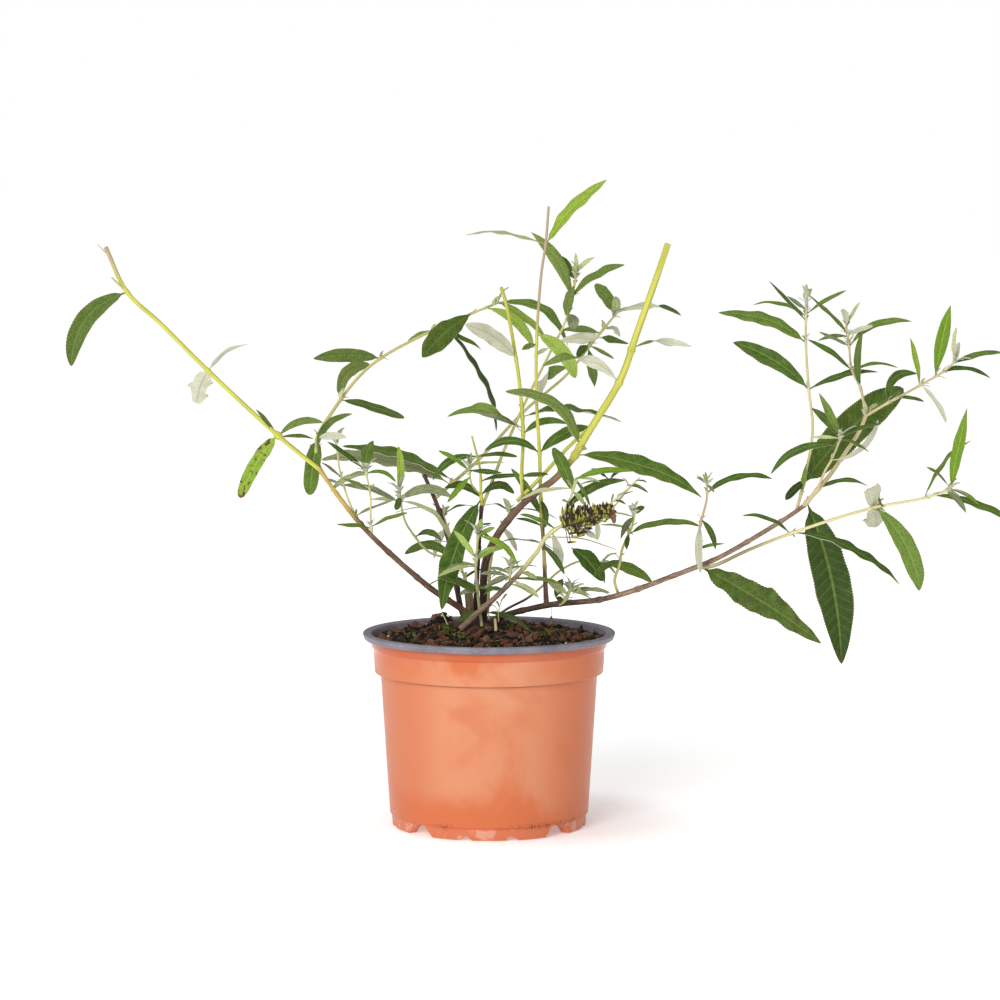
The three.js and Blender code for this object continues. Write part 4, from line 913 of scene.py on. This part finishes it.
lip = [(79.8, 126.4), (83.6, 126.5), (84.7, 127.5), (85.5, 130.5), (84.9, 131.35), (81.8, 131.4)]
wall = [(79.6, 130.6), (77.5, 120.8), (75.3, 108.4), (71.3, 105.3), (65.2, 12), (64, 10.5), (0.01, 10.5)]
behind = [(0.01, 10.1), (64.4, 10.1), (65.6, 11.6), (71.7, 105), (75.7, 108.1), (77.75, 120.7), (79.3, 126.3)]
liner = Heap()
add_lathe(liner, [*rounded([*lip, *wall], 1, 4), *behind, lip[0]], turns)

# ---- Potting mix and root crown ----

CROWN_MIDDLE = np.array([-11, 13, 129.6])
CROWN_SIZE = np.array([18, 16, 10])
SOIL_LEVEL, SOIL_RADIUS, SOIL_FLAT = 129, 78.3, 34


def crumble(x, y):
    """The surface of the potting mix: level in the middle, lower at the wall, heaped at the crown."""
    fall = 2.8 * ramp(math.hypot(x, y), SOIL_FLAT, SOIL_RADIUS)
    lumps = rumple(x / 11, y / 11, 3) * 1.7 + rumple(x / 3.4, y / 3.4, 9) + rumple(x / 1.3, y / 1.3, 5) * 0.5
    heap = 4 * math.exp(-(((x + 11) / 22) ** 2 + ((y - 13) / 20) ** 2))
    lump = 10 * math.exp(-(((x + 33) / 9) ** 2 + ((y - 50) / 8) ** 2))
    return SOIL_LEVEL - fall + lumps + heap + lump


def chunk_shape(detail):
    """A lump's corners and faces, from a sphere of a few faces."""
    lump = bmesh.new()
    bmesh.ops.create_icosphere(lump, subdivisions=detail, radius=1)
    points = np.array([corner.co[:] for corner in lump.verts])
    faces = np.array([[corner.index for corner in face.verts] for face in lump.faces])
    lump.free()
    return points, faces


def scatter(heap, count, low, high, flat, shape, sink=0.25):
    """Angular lumps strewn over the potting mix, the small ones in the majority."""
    corners, faces = shape
    for _ in range(count):
        radius, turn = (SOIL_RADIUS - 2) * math.sqrt(rng.uniform(0, 1)), rng.uniform(0, FULL_TURN)
        x, y = radius * math.cos(turn), radius * math.sin(turn)
        size = low + (high - low) * rng.uniform(0, 1) ** 2
        stretch = np.array([1, rng.uniform(0.5, 0.9), rng.uniform(flat, 1) * 0.7]) * size / 2
        rough = 1 + rng.normal(0, 0.16, (len(corners), 1))
        turned = Vector(rng.normal(0, 1, 3)).normalized().rotation_difference(Vector(UP)).to_matrix()
        lump = (corners * rough * stretch) @ np.array(turned)
        centre = np.array([x, y, crumble(x, y) + size * (0.3 - sink)])
        heap.add(centre + lump, [faces], tone=rng.uniform(0, 1))


def strewn(reach):
    """A chance place in a disc."""
    turn, radius = rng.uniform(0, FULL_TURN), reach * math.sqrt(rng.uniform(0, 1))
    return radius * math.cos(turn), radius * math.sin(turn)


def add_fibre(x, y):
    """A root fibre that wanders over the potting mix, unless it would run into the pot's wall."""
    heading = rng.uniform(0, FULL_TURN)
    strand = [[x, y, crumble(x, y) + 0.3]]
    for _ in range(6):
        heading += rng.normal(0, 0.5)
        x, y = x + 1.6 * math.cos(heading), y + 1.6 * math.sin(heading)
        strand.append([x, y, crumble(x, y) + rng.uniform(0.3, 1.6)])
    if math.hypot(x, y) < SOIL_RADIUS - 2:
        add_tube(fibres, np.array(strand), np.linspace(0.28, 0.1, 7), 4, None, rng.uniform(0, 1))


def add_moss(x, y, reach, longest):
    """A small curling leaf in a cushion of moss."""
    aside, behind = strewn(reach)
    foot = np.array([x + aside, y + behind, crumble(x + aside, y + behind) + rng.uniform(0, 2)])
    lean = np.array([rng.normal(0, 0.6), rng.normal(0, 0.6), 1.0])
    curl = np.array([rng.normal(0, 0.6), rng.normal(0, 0.6), rng.uniform(-0.6, 0.2)])
    size = longest * rng.uniform(0.6, 1.2)
    path = Curve([foot, foot + lean * size * 0.5, foot + (lean * 0.8 + curl * 0.6) * size]).spaced(5)
    radii = np.array([0.8, 1, 1, 0.8, 0.5, 0.2]) * rng.uniform(0.4, 0.9)
    add_tube(moss, path, radii, 5, None, rng.uniform(0, 1))


def crown_lump():
    """The gnarled woody crown: a ball drawn out, furrowed and cut level in the potting mix."""
    corners, faces = chunk_shape(5)
    found = []
    for corner in corners:
        folds = rumple(*corner * 2.6) * 0.16 + rumple(*corner * 7) * 0.07
        ribs = 0.06 * math.sin(9 * math.atan2(corner[1], corner[0]) + 2 * corner[2])
        found.append(np.maximum(corner * (0.86 + folds + ribs) * CROWN_SIZE, [-99, -99, -6]))
    return np.array(found), faces


soil, chips, crumbs, perlite, fibres, crown, moss = [Heap() for _ in range(7)]
soil_turns = np.linspace(0, FULL_TURN, 220, endpoint=False)
soil_profile = [(0.4, 10.7), (63.8, 10.7), (71, 105), (75, 108.5)]
for radius in [*np.linspace(SOIL_RADIUS, 1.8, 56), 0.4]:
    level = [crumble(radius * math.cos(turn), radius * math.sin(turn)) for turn in soil_turns]
    soil_profile.append((radius, np.array(level)))
add_lathe(soil, soil_profile, soil_turns)

coarse, fine = chunk_shape(2), chunk_shape(1)
scatter(chips, 330, 2.8, 9, 0.45, coarse, 0.15)
scatter(crumbs, 3200, 0.9, 3.4, 0.6, fine)
scatter(perlite, 44, 0.8, 2.4, 0.7, coarse, 0.05)
for _ in range(90):
    add_fibre(*strewn(70))
corners, faces = crown_lump()
crown.add(corners + CROWN_MIDDLE, [faces], tone=0.0, plan=corners)
for x, y, reach, count, longest in table(MOSS):
    for _ in range(int(count)):
        add_moss(x, y, reach, longest)

# ---- Materials ----


def linear(shade):
    """A colour as it shows, from 0 to 255, in linear light."""
    shown = [value / 255 for value in shade]
    light = [v / 12.92 if v <= 0.04045 else ((v + 0.055) / 1.055) ** 2.4 for v in shown]
    return (*light, 1)


class Wire:
    """What a node gives, to be reckoned with further."""

    def __init__(self, skin, socket):
        self.skin, self.socket = skin, socket

    def math(self, operation, other=0.0):
        return self.skin.node("Math", 0, {0: self, 1: other}, operation=operation)

    def __add__(self, other):
        return self.math("ADD", other)

    def __sub__(self, other):
        return self.math("SUBTRACT", other)

    def __mul__(self, other):
        return self.math("MULTIPLY", other)

    def spread(self, low, high, start=0.0, end=1.0):
        """The value eased from low..high to start..end."""
        sockets = {"Value": self, "From Min": low, "From Max": high, "To Min": start, "To Max": end}
        return self.skin.node("MapRange", "Result", sockets, interpolation_type="SMOOTHSTEP")


class Skin:
    """A material whose body colour is laid over coat by coat. Places are in metres."""

    def __init__(self, name, body, **settings):
        self.material = bpy.data.materials.new(name)
        self.material.use_nodes = True
        self.tree = self.material.node_tree
        self.shader = self.tree.nodes["Principled BSDF"].inputs
        self.body = body
        for socket, value in settings.items():
            self.shader[socket.replace("_", " ")].default_value = value

    def feed(self, socket, value):
        if isinstance(value, Wire):
            self.tree.links.new(value.socket, socket)
        else:
            socket.default_value = value

    def node(self, kind, output, sockets, **settings):
        made = self.tree.nodes.new("ShaderNode" + kind)
        for key, value in settings.items():
            setattr(made, key, value)
        for key, value in sockets.items():
            self.feed(made.inputs[key], value)
        return Wire(self, made.outputs[output])

    def mix(self, share, a, b):
        """The blend from a to b, each a colour or what a node gives."""
        a, b = [value if isinstance(value, Wire) else linear(value) for value in (a, b)]
        return self.node("Mix", 2, {0: share, 6: a, 7: b}, data_type="RGBA")

    def coat(self, share, shade):
        self.body = self.mix(share, self.body, shade)

    def place(self):
        return self.node("TexCoord", "Object", {})

    def drawn(self, vector, factor, rotation=(0, 0, 0), way="POINT"):
        """Places with their third measure multiplied, so that what lies on them is drawn out."""
        sockets = {"Vector": vector, "Rotation": rotation, "Scale": (1, 1, factor)}
        return self.node("Mapping", 0, sockets, vector_type=way)

    def split(self, vector):
        found = self.node("SeparateXYZ", 0, {"Vector": vector})
        return [Wire(self, socket) for socket in found.socket.node.outputs]

    def noise(self, scale, detail=3.0, roughness=0.5, vector=None, twist=0.0):
        sockets = {"Vector": vector or self.place(), "Scale": scale, "Detail": detail, "Roughness": roughness}
        return self.node("TexNoise", "Fac", {**sockets, "Distortion": twist})

    def cells(self, scale):
        return self.node("TexVoronoi", "Distance", {"Vector": self.place(), "Scale": scale})

    def sprayed(self, name, output="Fac"):
        return self.node("Attribute", output, {}, attribute_name=name)

    def finish(self, roughness, height, depth, strength):
        self.feed(self.shader["Base Color"], self.body)
        self.feed(self.shader["Roughness"], roughness)
        bump = self.node("Bump", 0, {"Height": height, "Strength": strength, "Distance": depth})
        self.feed(self.shader["Normal"], bump)
        return self.material


def leaf_veins(skin):
    """Masks of the midrib and side veins, from where a point is along and across its leaf."""
    along, across, vein_pairs = skin.split(skin.sprayed("plan", "Vector"))
    aside = across.math("ABSOLUTE")
    side_veins = (along * vein_pairs - aside * 1.35).math("PINGPONG", 0.5).spread(0.02, 0.13, 1, 0)
    return along, aside, aside.spread(0.03, 0.11, 1, 0), side_veins


def leaf_upper(name, valley, deep, light, vein):
    """A green upper face: pebbled, with a painted paler, greyer sheen where the sprayed tone says it is lit,
    with veins and with what harm is sprayed on.
    """
    skin = Skin(name, deep, Specular_IOR_Level=0.2)
    along, aside, rib, side_veins = leaf_veins(skin)
    tone, harm = skin.sprayed("tone"), skin.sprayed("harm")
    pebbles = skin.cells(800)
    # Painted sheen: the higher the tone, which lit leaves carry, the nearer the lighter shade and then a pale
    # grey-green.
    skin.coat(tone + skin.noise(150, 3, 0.6).spread(0.3, 0.7, -0.3, 0.3), light)
    skin.coat(tone.spread(0.8, 2.2, 0, 0.5), (156, 170, 98))
    skin.coat(pebbles.spread(0.3, 0.75, 0, 0.36), valley)
    skin.coat(side_veins * 0.2, vein)
    skin.coat(rib * 0.65, vein)
    skin.coat(aside.spread(0.9, 1, 0, 0.55), (150, 132, 78))
    skin.coat(skin.noise(270, 3, 0.6).spread(0.56, 0.61) * harm, (92, 60, 52))
    skin.coat(along.spread(0.93, 0.99) * (harm + 0.15), (112, 74, 40))
    rough = skin.noise(260, 2).spread(0.3, 0.7, 0.5, 0.66)
    return skin.finish(rough, pebbles * -1.0 - side_veins * 0.4, 0.0003, 0.45)


def leaf_under(name, felt, vein):
    """The under face of a leaf, with felt between its veins."""
    skin = Skin(name, felt, Specular_IOR_Level=0.15, Sheen_Weight=0.25, Sheen_Roughness=0.6)
    _, _, rib, side_veins = leaf_veins(skin)
    cloud = skin.noise(160, 5, 0.65).spread(0.25, 0.75, 0, 0.5)
    for share in (cloud, side_veins * 0.35, rib * 0.6):
        skin.coat(share, vein)
    height = skin.noise(900, 3, 0.6) + side_veins * 1.5 + rib * 2.5
    return skin.finish(cloud.spread(0, 0.5, 0.8, 0.95), height, 0.0002, 0.3)


def stem_skin(name, fresh, shaded, dry):
    """A young stem, with fine lengthwise streaks, that turns dry and tan where it is sprayed so."""
    skin = Skin(name, shaded, Specular_IOR_Level=0.3)
    streaks = skin.noise(0.8, 1, 0.4, skin.drawn(skin.sprayed("plan", "Vector"), 0.05)).spread(0.25, 0.75)
    skin.coat(streaks.spread(0, 1, 0.35, 1), fresh)
    skin.coat(skin.noise(45, 3, 0.5).spread(0.4, 0.75) * 0.3, shaded)
    age = skin.sprayed("tone") + streaks.spread(0, 1, -0.1, 0.1)
    skin.coat(age, dry)
    skin.coat(age * -1.0, skin.mix(streaks, (74, 56, 46), (128, 102, 80)))
    return skin.finish(streaks.spread(0, 1, 0.55, 0.75), streaks, 0.0001, 0.15)


def bark_skin(name, dark, light, green):
    """Brown bark with pale lengthwise flakes and pores, greening where it is sprayed so."""
    skin = Skin(name, dark, Specular_IOR_Level=0.25)
    fibre = skin.noise(1.9, 5, 0.65, skin.drawn(skin.sprayed("plan", "Vector"), 0.1))
    streaks = fibre.spread(0.35, 0.68)
    skin.coat(streaks * 0.7 + skin.noise(60, 4, 0.6).spread(0.35, 0.7) * 0.3, light)
    pores = skin.cells(520).spread(0.1, 0.22, 1, 0)
    skin.coat(pores * 0.28, (176, 150, 122))
    age = skin.sprayed("tone")
    skin.coat(age + fibre.spread(0.3, 0.7, -0.5, 0.5) * age, green)
    skin.coat(age * -0.75, (52, 38, 34))
    return skin.finish(streaks.spread(0, 1, 0.62, 0.85), fibre * 1.6 + pores * 0.5, 0.00035, 0.7)


def terracotta():
    """Orange plastic under a film of dust that is also a painted pale sheen, thinning to painted shade at the
    sides, wiped back in smears, with dirt and a painted highlight where the feet begin.
    """
    skin = Skin("terracotta_plastic", (207, 112, 70), Specular_IOR_Level=0.22)
    across, _, up = skin.split(skin.place())
    film = skin.noise(16, 3, 0.5, skin.drawn(skin.place(), 0.8), 0.8)
    film = film + up.spread(0.008, 0.04, -0.1, 0.12) - up.spread(0.1, 0.119, 0, 0.2)
    brushed = skin.noise(240, 2, 0.5, skin.drawn(skin.place(), 0.15))
    # The dust film is also a painted pale sheen, thickest at the front. Where the masks below thin it, at the
    # right side and the left edge, the bare orange stands for painted shade.
    dust_and_sheen = (film + brushed * 0.06).spread(0.4, 0.66)
    dust_and_sheen = dust_and_sheen * across.spread(-0.02, 0.035, 1, 0.12) * across.spread(-0.09, -0.055, 0.3, 1)
    slant = skin.drawn(skin.place(), 0.3, (0, 0.75, 0.2), "TEXTURE")
    wiped = skin.noise(15, 2, 0.5, slant, 0.5).spread(0.52, 0.7)
    # Dust and painted sheen share one pale colour.
    skin.coat(dust_and_sheen, (214, 143, 106))
    skin.coat(wiped * 0.35, (200, 108, 66))
    skin.coat(up.spread(0.1195, 0.1215, 0, 0.6), (186, 86, 54))
    # The ledge over the feet and the one under the collar hold shade and dirt.
    step, ledge = (up - 0.0083).math("ABSOLUTE"), (up - 0.1036).math("ABSOLUTE")
    skin.coat(ledge.spread(0.0002, 0.0008, 0.6, 0), (110, 50, 34))
    near = step.spread(0.0006, 0.0034, 1, 0).math("MAXIMUM", ledge.spread(0.0003, 0.0012, 0.8, 0))
    patch, grime = skin.noise(38, 3, 0.6).spread(0.46, 0.66), skin.noise(1300, 2, 0.6).spread(0.5, 0.6)
    skin.coat(near * patch * grime, (58, 44, 38))
    # Chalky dust on the foot ring, over a faint painted highlight in the same pinkish white that pales all of
    # it.
    chalk_and_highlight = skin.noise(90, 4, 0.65).spread(0.5, 0.62).spread(0, 1, 0.06, 0.42)
    skin.coat(up.spread(0.0066, 0.008, 1, 0) * chalk_and_highlight, (240, 196, 178))
    specks, rare = skin.cells(330).spread(0.04, 0.09, 1, 0), skin.noise(36, 2).spread(0.6, 0.7)
    skin.coat(specks * rare * 0.8, (70, 44, 36))
    rough = dust_and_sheen.spread(0, 1, 0.36, 0.55) - wiped * 0.1 - up.spread(0.117, 0.121, 0, 0.16)
    return skin.finish(rough, skin.noise(700, 3, 0.6), 0.00006, 0.35)


def grey_plastic():
    """Grey plastic, clouded, with specks of peat and fine scuffs that run round the pot."""
    skin = Skin("grey_plastic", (112, 106, 117), Specular_IOR_Level=0.45)
    cloud = skin.noise(60, 4, 0.6).spread(0.35, 0.7)
    skin.coat(cloud, (132, 126, 136))
    skin.coat(skin.noise(1400, 3, 0.6).spread(0.62, 0.7) * 0.6, (70, 56, 48))
    scuffs = skin.noise(300, 3, 0.6, skin.drawn(skin.place(), 5)).spread(0.6, 0.68)
    skin.coat(scuffs * 0.4, (198, 194, 200))
    return skin.finish(cloud.spread(0, 1, 0.38, 0.52), skin.noise(900, 3), 0.00008, 0.4)


def earth(name, scale, dark, light, tint=None):
    """Damp crumbly matter, each lump a little lighter or darker."""
    skin = Skin(name, dark, Specular_IOR_Level=0.2)
    grains = skin.noise(scale, 6, 0.7)
    uneven = skin.sprayed("tone").math("POWER", 1.6)
    skin.coat(uneven * 0.7 + grains.spread(0.35, 0.65, 0, 0.3), light)
    if tint is not None:
        skin.coat(skin.noise(scale / 6, 2).spread(0.52, 0.62, 0, 0.6), tint)
    return skin.finish(grains.spread(0.3, 0.7, 0.75, 0.98), grains, 0.0006, 0.8)


def made_of(skin, text):
    """Materials of one kind by their look, from rows of look, name and colours of red, green and blue."""
    rows = {look: (name, *zip(*[iter(values)] * 3)) for look, name, *values in table(text)}
    return {look: skin(*row) for look, row in rows.items()}


# Leaves: the valleys between their veins, the deeper and the lighter shade of the face, and the veins.
UNDER = leaf_under("leaf_underside", (198, 198, 176), (172, 174, 140))
DRY_UNDER = leaf_under("dry_leaf_underside", (176, 150, 116), (140, 110, 80))
LEAF_TOPS = made_of(leaf_upper, """dark dark_leaf 36 54 18  54 78 26  88 112 40  120 134 66,
    mid green_leaf 48 72 22  66 96 30  106 134 50  138 156 78,
    bright bright_leaf 82 116 24  106 142 32  146 174 58  168 186 84,
    lime lime_leaf 116 146 58  132 162 66  178 200 108  200 212 144,
    grey grey_green_leaf 92 104 68  110 122 84  150 158 120  170 174 138,
    young young_felted_leaf 152 164 106  160 174 106  198 204 154  208 210 172,
    felt turned_leaf 60 84 28  80 108 36  118 144 56  144 160 82,
    tan dry_leaf 100 74 52  118 88 62  172 142 106  190 164 128""")
# Stems: fresh, in the streaks, and where they are dry.
STEM_SKINS = made_of(stem_skin, """lime lime_stem 203 203 90  172 174 68  174 154 126,
    green green_stem 206 202 132  174 168 104  168 140 104,
    pale pale_stem 216 214 156  182 178 118  168 140 104,
    straw straw_stem 228 220 166  196 184 130  168 140 104,
    tan tan_stem 216 202 154  180 160 120  168 140 104,
    brown brown_stem 126 98 80  84 62 50  168 140 104""")
# Barks: dark and light, and where they turn green.
BARKS = made_of(bark_skin, """brown brown_bark 78 54 44  148 118 96  180 166 98,
    golden golden_bark 78 54 44  150 120 94  202 176 98,
    purple purple_bark 90 64 60  192 162 134  180 166 98,
    grey grey_bark 112 88 74  194 172 144  208 202 138,
    dark dark_bark 56 40 38  104 82 70  180 166 98,
    fibrous fibrous_bark 112 90 66  190 166 132  180 166 98""")
# The lumps and fibres of the potting mix: piece, points, crease, and the matter's name, grain and colours.
GROUND = [
    # The bed is near black, darker than real peat: partly its own dark colour, partly painted shade for the
    # gaps between the lumps.
    ("potting_mix_bed", soil, 180, "peat", 500, (7, 6, 5), (28, 23, 19)),
    ("peat_crumbs", crumbs, 30, "crumbs", 700, (8, 7, 6), (72, 60, 46), (56, 56, 36)),
    ("bark_chips", chips, 35, "bark_chips", 420, (9, 8, 7), (136, 100, 78), (122, 68, 50)),
    ("perlite", perlite, 40, "perlite", 600, (196, 190, 176), (246, 244, 238)),
    ("root_fibres", fibres, 60, "fibre", 500, (96, 72, 50), (176, 148, 110)),
]
CAPSULES = [
    ("dry_capsule", 900, (38, 28, 26), (104, 84, 70)),
    ("green_capsule", 900, (140, 142, 48), (186, 184, 84)),
    ("capsule_stalk", 900, (104, 88, 60), (152, 132, 92)),
]

# ---- Dressing the frame ----

add_piece("pot_shell", shell, [terracotta()], ["pot"], 28)
add_piece("pot_liner", liner, [grey_plastic()], ["pot"], 35)
for name, heap, crease, *matter in GROUND:
    add_piece(name, heap, [earth(*matter)], ["potting_mix"], crease)
add_piece("crown_wood", crown, [BARKS["dark"]], ["root_crown"], 180)
add_piece("moss", moss, [earth("moss", 500, (46, 56, 20), (124, 134, 64))], ["potting_mix"], 60)
for name, heap in boughs.items():
    add_piece(name + "_bark", heap, [BARKS[LIMBS[name]["look"][1]]], [name], 180)
for kind, heap in stems.items():
    add_piece(kind + "_stems", heap, [STEM_SKINS[kind]], sorted(heap.nodes), 60)
for look, heap in leaves.items():
    under = DRY_UNDER if look == "tan" else UNDER
    slot = "leaf_felt" if look in ("young", "felt") else "leaf"
    add_piece(look + "_leaves", heap, [LEAF_TOPS[look], under], sorted(heap.nodes), 60)
husks = [earth(*matter) for matter in CAPSULES]
add_piece("seed_capsules", seeds, husks, ["front_spike_shoot"], 50)

# ---- Floor, light and camera ----

floor_mesh = bpy.data.meshes.new("floor")
floor_corners = [(x, y, -0.0004) for x, y in ((-9, -9), (9, -9), (9, 30), (-9, 30))]
floor_mesh.from_pydata(floor_corners, [], [(0, 1, 2, 3)])
floor = bpy.data.objects.new("floor", floor_mesh)
white = (1, 1, 1, 1)
paper = Skin("white_paper", (252, 252, 252), Roughness=0.9, Specular_IOR_Level=0.0, Emission_Color=white)
far = paper.node("VectorMath", "Value", {"Vector": paper.place()}, operation="LENGTH")
# Painted light: the floor glows like a lamp, weakest close to the pot and stronger further off, so that it
# shows white and lights the plant from below.
glow = far.spread(0.06, 0.12, 0.26, 0.4) + far.spread(0.14, 0.9, 0, 0.26)
paper.coat(paper.noise(3, 2), (255, 255, 255))
paper.feed(paper.shader["Emission Strength"], glow)
paper.feed(paper.shader["Base Color"], paper.body)
floor_mesh.materials.append(paper.material)
bpy.context.scene.collection.objects.link(floor)

# The backdrop shows white, and lights the plant by less than that.
world = bpy.data.worlds.new("studio")
world.use_nodes = True
backdrop = world.node_tree.nodes["Background"]
backdrop.inputs["Color"].default_value = white
seen = world.node_tree.nodes.new("ShaderNodeLightPath")
strength = world.node_tree.nodes.new("ShaderNodeMapRange")
strength.inputs["To Min"].default_value = 0.37
world.node_tree.links.new(seen.outputs["Is Camera Ray"], strength.inputs["Value"])
world.node_tree.links.new(strength.outputs["Result"], backdrop.inputs["Strength"])
bpy.context.scene.world = world


def soft_light(name, place_at, size, power):
    """A square light turned towards the middle of the plant."""
    light = bpy.data.objects.new(name, bpy.data.lights.new(name, "AREA"))
    light.data.size = size
    light.data.energy = power
    light.location = place_at
    light.rotation_euler = (Vector((0, 0, 0.2)) - Vector(place_at)).to_track_quat("-Z", "Y").to_euler()
    bpy.context.scene.collection.objects.link(light)


soft_light("key", (-0.82, -2.18, 1.15), 1.1, 35)
soft_light("top", (-0.5, 0.4, 2.4), 2.4, 11)

camera = bpy.data.objects.new("camera", bpy.data.cameras.new("camera"))
camera.data.sensor_width = 36
camera.data.lens = 117.8
camera.data.clip_start = 0.05
camera.location = (AXIS[0] + 0.0074, AXIS[1] - 2.2, 0.4169)
camera.rotation_euler = (math.radians(90 - 5.1), 0, 0)
bpy.context.scene.collection.objects.link(camera)
bpy.context.scene.camera = camera
bpy.context.scene.view_settings.view_transform = "Standard"
